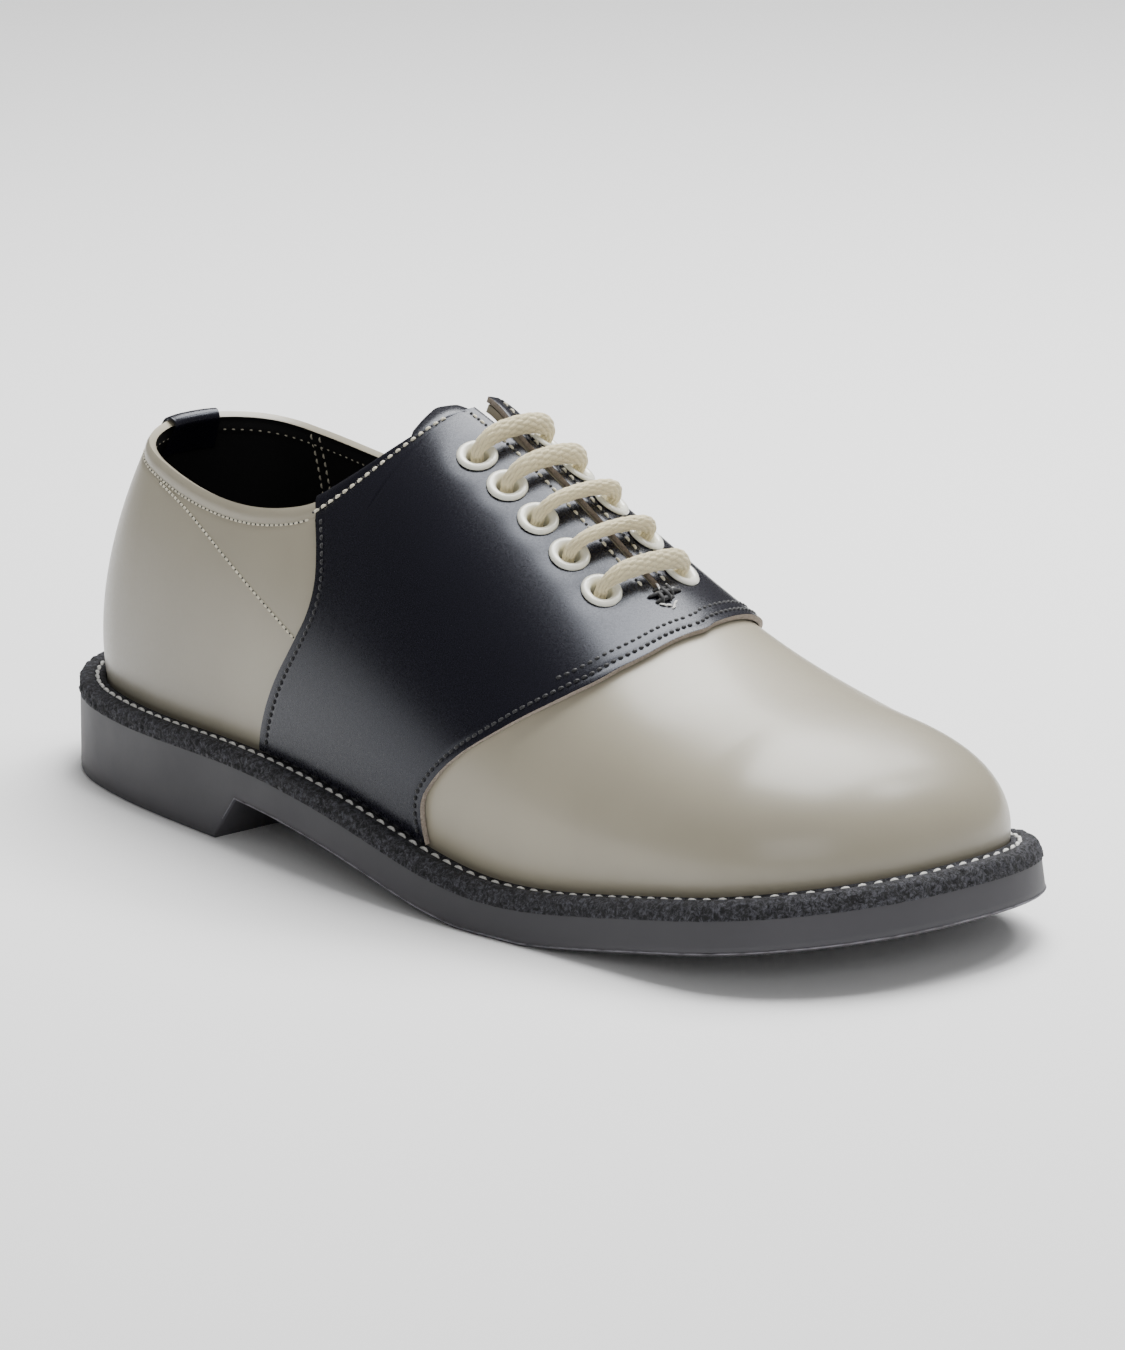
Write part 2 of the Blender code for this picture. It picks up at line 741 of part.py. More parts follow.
def across_axes(axis):
    """Two directions square to an axis"""
    first = np.cross(axis, (1.0, 0.0, 0.0))
    first /= np.linalg.norm(first)
    return first, np.cross(axis, first)


def circle(solid, name, centre, axis, radius, height):
    """The keys of a ring of points about an axis"""
    first, second = across_axes(axis)
    keys = []
    for i in range(EYELET_SIDES):
        angle = 2 * math.pi * i / EYELET_SIDES
        spoke = radius * (math.cos(angle) * first + math.sin(angle) * second)
        solid.point((name, i), centre + spoke + height * axis)
        keys.append((name, i))
    return keys


def build_eyelet(name, side, pair, look):
    solid = Solid()
    centre, axis = eyelet_seat(side, pair)
    seat = SADDLE_LIFT + SADDLE_WALL + MEETING_GAP
    profile = (
        (EYELET_BORE, -UPPER_WALL - MEETING_GAP),
        (EYELET_BARREL, -UPPER_WALL - MEETING_GAP),
        (EYELET_BARREL, seat),
        (EYELET_FLANGE, seat),
        (EYELET_FLANGE - EYELET_RIM, seat + 0.7 * EYELET_RISE),
        (EYELET_FLANGE - EYELET_CROWN, seat + EYELET_RISE),
        (EYELET_BORE, seat + 0.6 * EYELET_RISE),
    )
    rows = [circle(solid, n, centre, axis, *step) for n, step in enumerate(profile)]
    for row, following in zip(rows, rows[1:] + rows[:1]):
        solid.strip(row, following, closed=True)
    return solid.finish(name, look)


def cut_eyelet_holes(leather, clearance):
    """Holes through a leather piece for every eyelet's barrel"""
    for side in (1, -1):
        for pair in range(EYELET_PAIRS):
            centre, axis = eyelet_seat(side, pair)
            radius = EYELET_BARREL + clearance
            solid = Solid()
            foot = circle(solid, "foot", centre, axis, radius, -HOLE_CUT_REACH)
            head = circle(solid, "head", centre, axis, radius, HOLE_CUT_REACH)
            solid.face(foot)
            solid.face(head)
            solid.strip(foot, head, closed=True)
            cutter = solid.finish("cut_%s_%d_%d" % (leather.name, side, pair), None)
            cutter.hide_render = True
            cutter.display_type = "WIRE"
            hole = leather.modifiers.new("eyelet hole", "BOOLEAN")
            hole.operation = "DIFFERENCE"
            hole.object = cutter


class Lacing:
    """The lace's way, as knots of (point, half width, half thickness)"""

    def __init__(self):
        self.knots = []

    def add(self, pair, side, climb, lift, half_width, half_thick, shift=0.0):
        """A knot beside a pair, at a height over the last, moved up the wall by shift"""
        turn = turn_at(EYELET_FIRST + pair * EYELET_STEP, side, -WELT_REACH)
        step = last_point(turn, climb) - last_point(turn, climb - 0.01)
        climb = climb + shift * 0.01 / np.linalg.norm(step)
        self.knots.append((over_last(turn, climb, lift), half_width, half_thick))

    def through(self, side, pair, upwards):
        """Through an eyelet, from the inside out or back in"""
        for lift in LACE_HOLE_LIFTS if upwards else LACE_HOLE_LIFTS[::-1]:
            self.add(pair, side, EYELET_CLIMBS[side], lift, LACE_HOLE_HALF, LACE_HOLE_HALF)

    def bar(self, side, pair):
        """An arched bar from one side over the slit to the other"""
        for half, shares in ((side, (0.30, 0.75)), (-side, (0.75, 0.30))):
            for share in shares:
                climb = EYELET_CLIMBS[half] + (1 - EYELET_CLIMBS[half]) * share
                self.add(pair, half, climb, LACE_ARCH, LACE_BAR_HALF_WIDTH,
                         LACE_BAR_HALF_THICK)

    def run(self, side, start, end, shift=0.0):
        """A hidden run under the facing, from one pair to another"""
        shares = (0.35, 0.65) if abs(end - start) == 1 else (0.2, 0.5, 0.8)
        for share in shares:
            self.hidden(side, start + share * (end - start), shift)

    def hidden(self, side, pair, shift=0.0):
        self.add(pair, side, EYELET_CLIMBS[side], -LACE_RUN_DEPTH, LACE_RUN_HALF_WIDTH,
                 LACE_RUN_HALF_THICK, shift)


def build_lace(look):
    """One braid laced in straight bars, its two ends left inside by the top eyelets.

    Pairs are counted from the top. It comes up by the second on the little-toe side and
    crosses, runs to the fourth and crosses back, goes on to the fifth, runs back to the
    third, and ends over the first, so that one straight bar crosses every pair.
    """
    way = Lacing()
    way.hidden(1, 0.55)
    way.through(1, 1, True)
    way.bar(1, 1)
    way.through(-1, 1, False)
    way.run(-1, 1, 3, -LACE_SIDESTEP)
    way.through(-1, 3, True)
    way.bar(-1, 3)
    way.through(1, 3, False)
    way.run(1, 3, 4)
    way.through(1, 4, True)
    way.bar(1, 4)
    way.through(-1, 4, False)
    way.run(-1, 4, 2, LACE_SIDESTEP)
    way.through(-1, 2, True)
    way.bar(-1, 2)
    way.through(1, 2, False)
    way.run(1, 2, 0, LACE_SIDESTEP)
    way.through(1, 0, True)
    way.bar(1, 0)
    way.through(-1, 0, False)
    way.hidden(-1, 0.45)
    return braid("lace", way.knots, look)


def cut_corners(rows):
    """One round of corner cutting, which turns a chain of knots into a smooth curve"""
    near = 0.75 * rows[:-1] + 0.25 * rows[1:]
    far = 0.25 * rows[:-1] + 0.75 * rows[1:]
    middle = np.empty((2 * len(near), rows.shape[1]))
    middle[0::2] = near
    middle[1::2] = far
    return np.vstack([rows[:1], middle, rows[-1:]])


def smooth_route(knots):
    """Even stations of (point, half width, half thickness) on a smooth curve"""
    rows = np.array([[*point, wide, thick] for point, wide, thick in knots])
    for _ in range(LACE_CORNER_CUTS):
        rows = cut_corners(rows)
    steps = np.linalg.norm(np.diff(rows[:, :3], axis=0), axis=1)
    walked = np.append(0, np.cumsum(steps))
    even = np.linspace(0, walked[-1], int(round(walked[-1] / LACE_STEP)) + 1)
    return np.column_stack([np.interp(even, walked, rows[:, n]) for n in range(5)])


def braid(name, knots, look):
    """An oval tube along a route, its flat side kept towards the last"""
    solid = Solid()
    route = smooth_route(knots)
    points = route[:, :3]
    tangents = np.gradient(points, axis=0)
    tangents /= np.linalg.norm(tangents, axis=1)[:, None]
    wide_axis = np.cross(tangents[0], (0.0, 0.0, 1.0))
    rows = []
    for i, (point, tangent) in enumerate(zip(points, tangents)):
        wide_axis = wide_axis - tangent * np.dot(wide_axis, tangent)
        wide_axis /= np.linalg.norm(wide_axis)
        thick_axis = np.cross(tangent, wide_axis)
        keys = []
        for n in range(LACE_SIDES):
            angle = 2 * math.pi * (n + 0.5) / LACE_SIDES
            spoke = (math.cos(angle) * route[i, 3] * wide_axis
                     + math.sin(angle) * route[i, 4] * thick_axis)
            solid.point((i, n), point + spoke)
            keys.append((i, n))
        rows.append(keys)
    for one, two in zip(rows, rows[1:]):
        solid.strip(one, two, closed=True)
    solid.face(rows[0])
    solid.face(rows[-1])
    return solid.finish(name, look)


def main():
    for old in list(bpy.data.objects):
        bpy.data.objects.remove(old, do_unlink=True)
    greige = material("greige_leather", (0.36, 0.33, 0.28), 0.45)
    black = material("black_leather", (0.016, 0.016, 0.022), 0.25)
    lining = material("black_lining", (0.010, 0.010, 0.011), 0.65)
    fibre = material("black_welt_leather", (0.020, 0.020, 0.022), 0.85)
    rubber = material("black_rubber", (0.070, 0.070, 0.078), 0.55)
    enamel = material("ivory_enamel", (0.80, 0.80, 0.70), 0.30)
    cotton = material("oatmeal_cotton", (0.62, 0.54, 0.40), 0.90)

    build_outsole(rubber)
    build_welt(fibre)
    build_insole(lining)
    upper = build_upper(greige)
    saddle = build_saddle(black)
    cut_eyelet_holes(upper, MEETING_GAP)
    cut_eyelet_holes(saddle, MEETING_GAP)
    build_tongue(lining)
    build_heel_tab(lining)
    for side, word in ((1, "lateral"), (-1, "medial")):
        for pair in range(EYELET_PAIRS):
            build_eyelet("eyelet_%s_%d" % (word, pair + 1), side, pair, enamel)
    build_lace(cotton)


main()
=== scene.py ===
"""The looks of a right-foot saddle shoe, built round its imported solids.

The leather pieces are lasted over the same last that shapes the solids, then sewn, eyeleted
and laced, and the shoe stands on a pale studio floor. Measures run along the sole from the
heel, across it (positive to the little-toe side) and up from the floor; place() turns them
into the frame, where the toe looks along -Y. Tables hold millimetres and plain shares.
"""

import math
from collections import namedtuple

import bmesh
import bpy
import numpy as np
from bpy.props import FloatProperty, FloatVectorProperty, PointerProperty
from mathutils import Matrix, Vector, noise


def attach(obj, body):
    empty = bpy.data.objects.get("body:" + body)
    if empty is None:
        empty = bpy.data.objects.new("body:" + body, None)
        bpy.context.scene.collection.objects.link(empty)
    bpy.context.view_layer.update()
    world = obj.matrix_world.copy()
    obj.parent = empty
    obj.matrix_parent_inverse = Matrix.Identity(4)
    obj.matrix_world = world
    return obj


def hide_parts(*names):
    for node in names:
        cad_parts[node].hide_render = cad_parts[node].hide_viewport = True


bl_info = {
    "name": "Saddle shoe",
    "version": (1, 0, 0),
    "blender": (4, 5, 0),
    "location": "3D View > Sidebar > Shoe",
    "description": "Lasts, sews and laces a saddle shoe round its solids",
    "category": "Object",
}

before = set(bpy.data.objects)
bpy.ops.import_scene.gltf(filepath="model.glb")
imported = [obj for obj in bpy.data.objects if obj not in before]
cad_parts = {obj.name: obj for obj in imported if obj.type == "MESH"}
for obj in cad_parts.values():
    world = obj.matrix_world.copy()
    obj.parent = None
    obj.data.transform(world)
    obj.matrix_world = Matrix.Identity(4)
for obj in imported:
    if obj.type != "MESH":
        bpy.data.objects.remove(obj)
BODY = "root"
MM = 0.001

# Sizes shared with the solids
SOLE_LENGTH = 304 * MM
WELT_THICK = 3.4 * MM
WELT_REACH = 7.0 * MM
MEETING_GAP = 0.3 * MM
FORE_SOLE_THICK = 9.6 * MM
SOLE_FLARE = 2.0 * MM
FLARE_START = 100.0 * MM
FLARE_FULL = 180.0 * MM
SOLE_BEVEL = 0.8 * MM
BREAST_FOOT = 91.5 * MM
BREAST_HEAD = 101.5 * MM
SADDLE_LIFT = 0.4 * MM
INSOLE_INSET = 9.9 * MM
HEEL_ROUND = 34.0 * MM
TOE_ROUND = 38.7 * MM
END_FULLNESS = 2.5
TOE_SWING = -13.0 * MM
SWING_START = 150.0 * MM
SLIT_START = 140.0 * MM
SLIT_END = 203.0 * MM
SLIT_HALF_TOP = 1.5 * MM
SLIT_HALF_END = 0.6 * MM
LEVEL_SHARE = 0.40
FOLLOW_POWER = 2.5

# The welt's outer edge: half widths across the sole, closed by two rounded ends
WidthRow = namedtuple("WidthRow", "along lateral medial")
SOLE_WIDTHS = [WidthRow(*row) for row in (
    (0, 27.3, 27.4), (40, 41.0, 39.5), (90, 48.0, 34.0), (130, 52.0, 33.5), (165, 54.2, 41.0),
    (200, 54.6, 50.0), (235, 53.2, 54.5), (270, 52.4, 50.5), (304, 44.4, 45.6))]

# The height of the welt's upper face
HeightRow = namedtuple("HeightRow", "along top")
WELT_HEIGHTS = [HeightRow(*row) for row in (
    (0, 25.3), (55, 24.6), (110, 24.9), (155, 20.0), (200, 12.7), (250, 18.0), (304, 26.0))]

# The last: a ridge over the foot, and each side's lean at the welt, upright share of the
# wall and flatness towards the ridge
LastRow = namedtuple(
    "LastRow", "along top centre lean_lat lean_med wall_lat wall_med crown_lat crown_med")
LAST = [LastRow(*row) for row in (
    (45, 121.0, -2.0, 6.0, 6.2, 0.51, 0.52, 0.44, 0.50),
    (80, 126.0, -1.5, 6.7, 6.8, 0.54, 0.54, 0.54, 0.55),
    (115, 119.5, -1.1, 7.2, 7.2, 0.56, 0.56, 0.60, 0.59),
    (150, 108.5, -0.8, 7.4, 7.4, 0.59, 0.59, 0.63, 0.64),
    (185, 88.5, -2.6, 7.1, 7.2, 0.62, 0.64, 0.66, 0.69),
    (220, 67.0, -5.9, 6.2, 6.2, 0.62, 0.69, 0.68, 0.74),
    (255, 57.5, -10.5, 5.0, 4.0, 0.60, 0.62, 0.66, 0.66))]
EndRow = namedtuple("EndRow", "lean wall crown")
LAST_HEEL = EndRow(7.0, 0.44, 0.10)
LAST_TOE = EndRow(1.5, 0.75, 0.60)
FAN_HEEL = LAST[0].along * MM
FAN_TOE = LAST[-1].along * MM

# The topline's height above the floor, behind the facings
TOPLINE = [HeightRow(*row) for row in (
    (7, 91.5), (20, 90.6), (50, 87.3), (80, 85.2), (95, 85.8), (109, 88.3), (118, 91.5),
    (125, 96.2), (131, 101.4), (135, 106.0), (138, 111.0), (141, 120.0))]

# The saddle's two edges: how far along they lie at each share of the climb to the ridge
EdgeRow = namedtuple("EdgeRow", "climb rear front_lat front_med")
SADDLE_EDGES = [EdgeRow(*row) for row in (
    (0.00, 105.5, 177.0, 172.0), (0.05, 108.5, 173.0, 168.5), (0.12, 113.5, 178.0, 172.5),
    (0.22, 122.8, 187.5, 181.5), (0.31, 128.3, 196.2, 190.0), (0.40, 125.8, 203.0, 196.8),
    (0.50, 118.0, 209.3, 203.0), (0.63, 118.0, 214.8, 208.3), (0.80, 118.0, 217.4, 212.2),
    (1.00, 118.0, 216.2, 216.2))]

# The tongue: how deep it lies under the last's surface, and how far down it reaches
TongueRow = namedtuple("TongueRow", "along depth climb")
TONGUE = [TongueRow(*row) for row in (
    (129, 3.2, 0.86), (132, 2.6, 0.79), (137, 3.2, 0.75), (143, 4.8, 0.74), (150, 6.4, 0.74),
    (160, 6.4, 0.75), (178, 6.4, 0.76), (204, 6.4, 0.78), (211, 3.4, 0.80), (219, 2.4, 0.84))]

# Eyelets and lace
EYELET_PAIRS = 5
EYELET_FIRST = 153.4 * MM
EYELET_STEP = 11.1 * MM
EYELET_CLIMBS = {1: 0.850, -1: 0.858}
LACE_HOLE_HALF = 1.6 * MM
LACE_HOLE_LIFTS = (-4.0 * MM, -0.5 * MM, 1.8 * MM, 4.2 * MM)
LACE_BAR_HALF_WIDTH = 2.7 * MM
LACE_BAR_HALF_THICK = 1.7 * MM
LACE_RUN_HALF_WIDTH = 2.1 * MM
LACE_RUN_HALF_THICK = 1.2 * MM
LACE_RUN_DEPTH = 4.4 * MM
LACE_ARCH = 6.3 * MM
LACE_SIDESTEP = 5.2 * MM
LACE_CORNER_CUTS = 4


def colour(code):
    """An sRGB hex colour as linear light"""
    channels = [int(code[i:i + 2], 16) / 255 for i in (1, 3, 5)]
    return [c / 12.92 if c <= 0.04045 else ((c + 0.055) / 1.055) ** 2.4 for c in channels]


def finish_colour(label, words, code):
    return FloatVectorProperty(name=label, description=words, subtype="COLOR", size=3,
                               min=0.0, max=1.0, default=colour(code))


def setting(label, words, value, unit="LENGTH"):
    return FloatProperty(name=label, description=words, default=value, unit=unit)


class ShoeSizes(bpy.types.PropertyGroup):
    """Sizes of the leather, the thread and the braid that a maker would change"""
    upper_wall: setting("Upper wall", "Outer leather and lining together", 2.0 * MM)
    saddle_wall: setting("Saddle wall", "Thickness of the saddle's leather", 1.5 * MM)
    insole_wall: setting("Insole", "Thickness of the insole with its sock", 2.6 * MM)
    tongue_wall: setting("Tongue wall", "Thickness of the tongue", 1.9 * MM)
    seam_pitch: setting("Seam pitch", "From one stitch of the upper to the next", 2.35 * MM)
    welt_pitch: setting("Welt pitch", "From one stitch of the welt to the next", 4.3 * MM)
    seam_inset: setting("Collar seam inset", "From the topline to the seam below it", 4.4 * MM)
    braid_pitch: setting("Braid pitch", "Length of one crossing of the lace's strands", 4.4 * MM)


class ShoeColours(bpy.types.PropertyGroup):
    """Colours of the finishes"""
    vamp: finish_colour("Vamp and quarters", "Smooth calf, aniline greige", "#9D9684")
    saddle: finish_colour("Saddle", "Corrected leather, near-black navy", "#100F17")
    lining: finish_colour("Lining", "Soft lining leather", "#0C0B0C")
    raw_edge: finish_colour("Raw edge", "The fibres of a cut edge of leather", "#A2968A")
    welt: finish_colour("Welt", "Dyed welting leather", "#18181B")
    rubber: finish_colour("Sole", "Moulded rubber", "#3A393D")
    enamel: finish_colour("Eyelets", "Ivory enamel", "#ECEBDD")
    cotton: finish_colour("Lace", "Unbleached cotton", "#DCCFA8")
    thread_cream: finish_colour("Cream thread", "Collar and quarter seams", "#D8D2BC")
    thread_white: finish_colour("White thread", "Welt seam", "#E4E3DE")
    thread_black: finish_colour("Black thread", "Saddle seams", "#0F0F13")


class ShoeStudio(bpy.types.PropertyGroup):
    """The studio's lights"""
    overhead: setting("Overhead", "Power of the large soft box over the shoe", 40.0, "POWER")
    toe: setting("Toe", "Power of the small soft box over the toe", 3.8, "POWER")
    fill: setting("Fill", "Power of the weak soft box beside the camera", 7.0, "POWER")
    air: setting("Air", "Strength of the even light from all round", 0.30, "NONE")


def spline(knots, values, at):
    """Natural cubic spline through the knots, held flat past its two ends"""
    knots = np.asarray(knots, dtype=float)
    values = np.asarray(values, dtype=float)
    count = len(knots)
    gaps = np.diff(knots)
    matrix = np.eye(count)
    right = np.zeros(count)
    for i in range(1, count - 1):
        matrix[i, i - 1:i + 2] = gaps[i - 1], 2 * (gaps[i - 1] + gaps[i]), gaps[i]
        steps = (values[i + 1] - values[i]) / gaps[i] - (values[i] - values[i - 1]) / gaps[i - 1]
        right[i] = 6 * steps
    bends = np.linalg.solve(matrix, right)
    at = np.clip(at, knots[0], knots[-1])
    k = np.clip(np.searchsorted(knots, at) - 1, 0, count - 2)
    low = (knots[k + 1] - at) / gaps[k]
    high = (at - knots[k]) / gaps[k]
    curve = (low ** 3 - low) * bends[k] + (high ** 3 - high) * bends[k + 1]
    return low * values[k] + high * values[k + 1] + curve * gaps[k] ** 2 / 6


def column(table, name):
    return np.array([getattr(row, name) for row in table], dtype=float)


def share_at(table, name, along):
    """A plain share in a table, read at a distance along the sole"""
    return spline(column(table, "along"), column(table, name), np.asarray(along) / MM)


def length_at(table, name, along):
    return MM * share_at(table, name, along)


def rounded_end(distance, size):
    """How much of the half width is left at a distance from the sole's end"""
    left = np.clip(1 - distance / size, 0, 1)
    return (1 - left ** END_FULLNESS) ** (1 / END_FULLNESS)


def welt_height(along):
    return length_at(WELT_HEIGHTS, "top", along)


def trace_outline(samples=2400):
    """The welt's outer edge once round: turns, points and outward directions"""
    along = SOLE_LENGTH * (1 - np.cos(np.linspace(0, math.pi, samples))) / 2
    ends = rounded_end(along, HEEL_ROUND) * rounded_end(SOLE_LENGTH - along, TOE_ROUND)
    bend = TOE_SWING * np.clip((along - SWING_START) / (SOLE_LENGTH - SWING_START), 0, 1) ** 2
    sides = []
    for name, sign in (("lateral", 1), ("medial", -1)):
        across = bend + sign * length_at(SOLE_WIDTHS, name, along) * ends
        walked = np.append(0, np.cumsum(np.hypot(np.diff(along), np.diff(across))))
        even = np.linspace(0, walked[-1], samples)
        sides.append(np.column_stack([np.interp(even, walked, along),
                                      np.interp(even, walked, across)]))
    loop = np.concatenate([sides[0], sides[1][-2:0:-1]])
    turn = np.append(np.linspace(0, 0.5, samples), np.linspace(0.5, 1, samples)[1:-1])
    tangent = np.roll(loop, -2, axis=0) - np.roll(loop, 2, axis=0)
    outward = np.column_stack([-tangent[:, 1], tangent[:, 0]])
    outward /= np.linalg.norm(outward, axis=1)[:, None]
    return turn, loop, outward


TURN, EDGE, OUTWARD = trace_outline()


def outline(turn, reach=0.0):
    """A point of the welt's outer edge, moved outwards by reach"""
    loop = EDGE + OUTWARD * np.reshape(reach, (-1, 1))
    turns = np.append(TURN, 1.0)
    turn = np.mod(turn, 1.0)
    return (np.interp(turn, turns, np.append(loop[:, 0], loop[0, 0])),
            np.interp(turn, turns, np.append(loop[:, 1], loop[0, 1])))


def turn_at(along, side, reach=-WELT_REACH):
    """The turn at which one side of a ring lies a given distance along"""
    turns = np.linspace(0, 0.5, 3000)
    if side < 0:
        turns = 1 - turns
    ring_along, _ = outline(turns, reach)
    return np.interp(along, ring_along, turns)


def by_side(name, along, across, centre, reader):
    lateral = reader(LAST, name + "_lat", along)
    medial = reader(LAST, name + "_med", along)
    return np.where(across >= centre, lateral, medial)


def last_point(turn, climb):
    """A point of the last's surface: climb is 0 at the welt and 1 on the ridge"""
    turn = np.asarray(turn, dtype=float)
    climb = np.asarray(climb, dtype=float)
    foot_along, foot_across = outline(turn, -WELT_REACH)
    foot_up = welt_height(foot_along)
    along = np.clip(foot_along, FAN_HEEL, FAN_TOE)
    top = length_at(LAST, "top", along)
    centre = length_at(LAST, "centre", along)
    ahead = np.clip(along + 0.5 * MM, FAN_HEEL, FAN_TOE)
    behind = np.clip(along - 0.5 * MM, FAN_HEEL, FAN_TOE)
    rise = length_at(LAST, "top", ahead) - length_at(LAST, "top", behind)
    slope = rise / (ahead - behind)
    to_along = along - foot_along
    to_across = centre - foot_across
    width = np.hypot(to_along, to_across)
    to_along = to_along / width
    to_across = to_across / width
    lean = by_side("lean", along, foot_across, centre, length_at)
    wall = by_side("wall", along, foot_across, centre, share_at)
    crown = by_side("crown", along, foot_across, centre, share_at)
    at_heel = foot_along < FAN_HEEL
    at_toe = foot_along > FAN_TOE
    endward = np.where(at_heel | at_toe, to_along ** 2, 0)
    lean = lean * (1 - endward) + endward * MM * np.where(at_heel, LAST_HEEL.lean, LAST_TOE.lean)
    wall = wall * (1 - endward) + endward * np.where(at_heel, LAST_HEEL.wall, LAST_TOE.wall)
    crown = crown * (1 - endward) + endward * np.where(at_heel, LAST_HEEL.crown, LAST_TOE.crown)
    tall = top + slope * (foot_along - along) - foot_up
    knots = (
        (foot_along, foot_across, foot_up),
        (foot_along - to_along * lean, foot_across - to_across * lean, foot_up + wall * tall),
        (along - to_along * crown * width, centre - to_across * crown * width,
         top - slope * to_along * crown * width),
        (along, centre, top),
    )
    rest = 1 - climb
    weights = (rest ** 3, 3 * rest ** 2 * climb, 3 * rest * climb ** 2, climb ** 3)
    return np.stack([sum(w * knot[axis] for w, knot in zip(weights, knots))
                     for axis in range(3)], axis=-1)


def ridge_normal(along):
    """The upward direction of the last on its ridge"""
    along = np.clip(along, FAN_HEEL + MM, FAN_TOE - MM)
    rise = length_at(LAST, "top", along + MM) - length_at(LAST, "top", along - MM)
    normal = np.stack([-rise / (2 * MM), np.zeros_like(rise), np.ones_like(rise)], axis=-1)
    return normal / np.linalg.norm(normal, axis=-1, keepdims=True)


def last_normal(turn, climb, step=0.0003):
    """The outward direction of the last's surface"""
    low = np.clip(climb - step, 0, 1 - 2 * step)
    high = np.clip(climb + step, 2 * step, 1 - step)
    middle = np.minimum(climb, 1 - step)
    round_it = last_point(turn + step, middle) - last_point(turn - step, middle)
    up_it = last_point(turn, high) - last_point(turn, low)
    normal = np.cross(up_it, round_it)
    normal /= np.linalg.norm(normal, axis=-1, keepdims=True)
    on_ridge = (np.asarray(climb) > 1 - 1e-6)[..., None]
    return np.where(on_ridge, ridge_normal(last_point(turn, climb)[..., 0]), normal)


def over_last(turn, climb, lift):
    """A point at a height over the last's surface, or under it where lift is negative"""
    turn, climb, lift = np.broadcast_arrays(turn, climb, lift)
    return last_point(turn, climb) + lift[..., None] * last_normal(turn, climb)


def soft_least(one, two, blend):
    """The lesser of two values, with the corner between them rounded off"""
    near = np.maximum(blend - abs(one - two), 0) / blend
    return min(one, two) - near ** 2 * blend / 4


def topline_climb(turn):
    """The share of a rib that the upper covers: up to the topline, the slit or the ridge"""
    along, _ = outline(turn, -WELT_REACH)
    along = float(along)
    if along >= SLIT_END - 0.1 * MM:
        return 1.0
    climbs = np.linspace(0, 1, 400)
    rib = last_point(turn + 0 * climbs, climbs)
    ups = np.maximum.accumulate(rib[:, 2])
    by_height = float(np.interp(length_at(TOPLINE, "top", along), ups, climbs))
    share = np.clip((along - SLIT_START) / (SLIT_END - SLIT_START), 0, 1)
    half = SLIT_HALF_TOP * (1 - share) + SLIT_HALF_END * share
    from_ridge = np.hypot(*(rib[::-1, :2] - rib[-1, :2]).T)
    by_slit = float(np.interp(half, np.maximum.accumulate(from_ridge), climbs[::-1]))
    return soft_least(by_height, by_slit, 0.035)


REACH_TURNS = np.linspace(0, 1, 1601)
REACH = np.array([topline_climb(turn) for turn in REACH_TURNS])


def reach_at(turn):
    return np.interp(np.mod(turn, 1.0), REACH_TURNS, REACH)


def wall_climb(row, reach):
    """The climb of a row of the wall: low rows stay level and high ones follow the topline"""
    return LEVEL_SHARE * row + (reach - LEVEL_SHARE) * row ** FOLLOW_POWER


def place(points):
    """From (along, across, up) to the frame"""
    return np.stack([-points[..., 1] - MIDDLE_X,
                     SOLE_LENGTH / 2 - points[..., 0] - MIDDLE_Y, points[..., 2]], axis=-1)


def sole_flare(along):
    """How far the sole's foot stands out past the welt: nothing at the heel"""
    return SOLE_FLARE * np.clip((along - FLARE_START) / (FLARE_FULL - FLARE_START), 0, 1)


def find_middle():
    """The middle of the shoe's box, on which the frame stands"""
    along, across = outline(TURN, sole_flare(EDGE[:, 0]))
    return (-(across.max() + across.min()) / 2,
            SOLE_LENGTH / 2 - (along.max() + along.min()) / 2)


MIDDLE_X, MIDDLE_Y = find_middle()


def sizes():
    return bpy.context.scene.shoe_sizes


def colours():
    return bpy.context.scene.shoe_colours


def deselect():
    """Leaves edit mode with nothing selected"""
    if bpy.context.object and bpy.context.object.mode != "OBJECT":
        bpy.ops.object.mode_set(mode="OBJECT")
    bpy.ops.object.select_all(action="DESELECT")


def only(piece):
    deselect()
    piece.select_set(True)
    bpy.context.view_layer.objects.active = piece


def named(piece, name):
    piece.name = name
    piece.data.name = name
    return piece


def corners(piece):
    """The corners of a mesh as rows of x, y and z"""
    flat = np.empty(len(piece.data.vertices) * 3)
    piece.data.vertices.foreach_get("co", flat)
    return flat.reshape(-1, 3)


def move_corners(piece, points):
    piece.data.vertices.foreach_set("co", points.ravel())
    piece.data.update()


def walk(points):
    """How far along a row of points each of them lies"""
    return np.append(0, np.cumsum(np.linalg.norm(np.diff(points, axis=0), axis=1)))


def read_row(at, walked, points):
    return np.column_stack([np.interp(at, walked, values) for values in points.T])


def lasted_sheet(name, columns, rows, form):
    """A primitive grid whose corners are all moved to where form puts them.

    form takes the shares along the columns and the rows and gives points of the frame.
    """
    deselect()
    bpy.ops.mesh.primitive_grid_add(x_subdivisions=columns, y_subdivisions=rows, size=1.0)
    sheet = named(bpy.context.object, name)
    i, j = np.rint((corners(sheet)[:, :2] + 0.5) * (columns, rows)).astype(int).T
    where = form(np.linspace(0, 1, columns + 1)[None, :], np.linspace(0, 1, rows + 1)[:, None])
    move_corners(sheet, where[j, i])
    return sheet


def grid_shares(sheet, columns, rows):
    """Which column and row of its grid each corner of a fresh sheet belongs to, from its UVs"""
    shares = np.zeros((len(sheet.data.vertices), 2))
    layer = sheet.data.uv_layers.active.data
    for loop in sheet.data.loops:
        shares[loop.vertex_index] = layer[loop.index].uv
    return np.rint(shares * (columns, rows)).astype(int)


def in_edit(piece, *steps):
    """Runs edit-mode operators on a whole piece"""
    only(piece)
    bpy.ops.object.mode_set(mode="EDIT")
    bpy.ops.mesh.select_all(action="SELECT")
    for step in steps:
        step()
    bpy.ops.object.mode_set(mode="OBJECT")


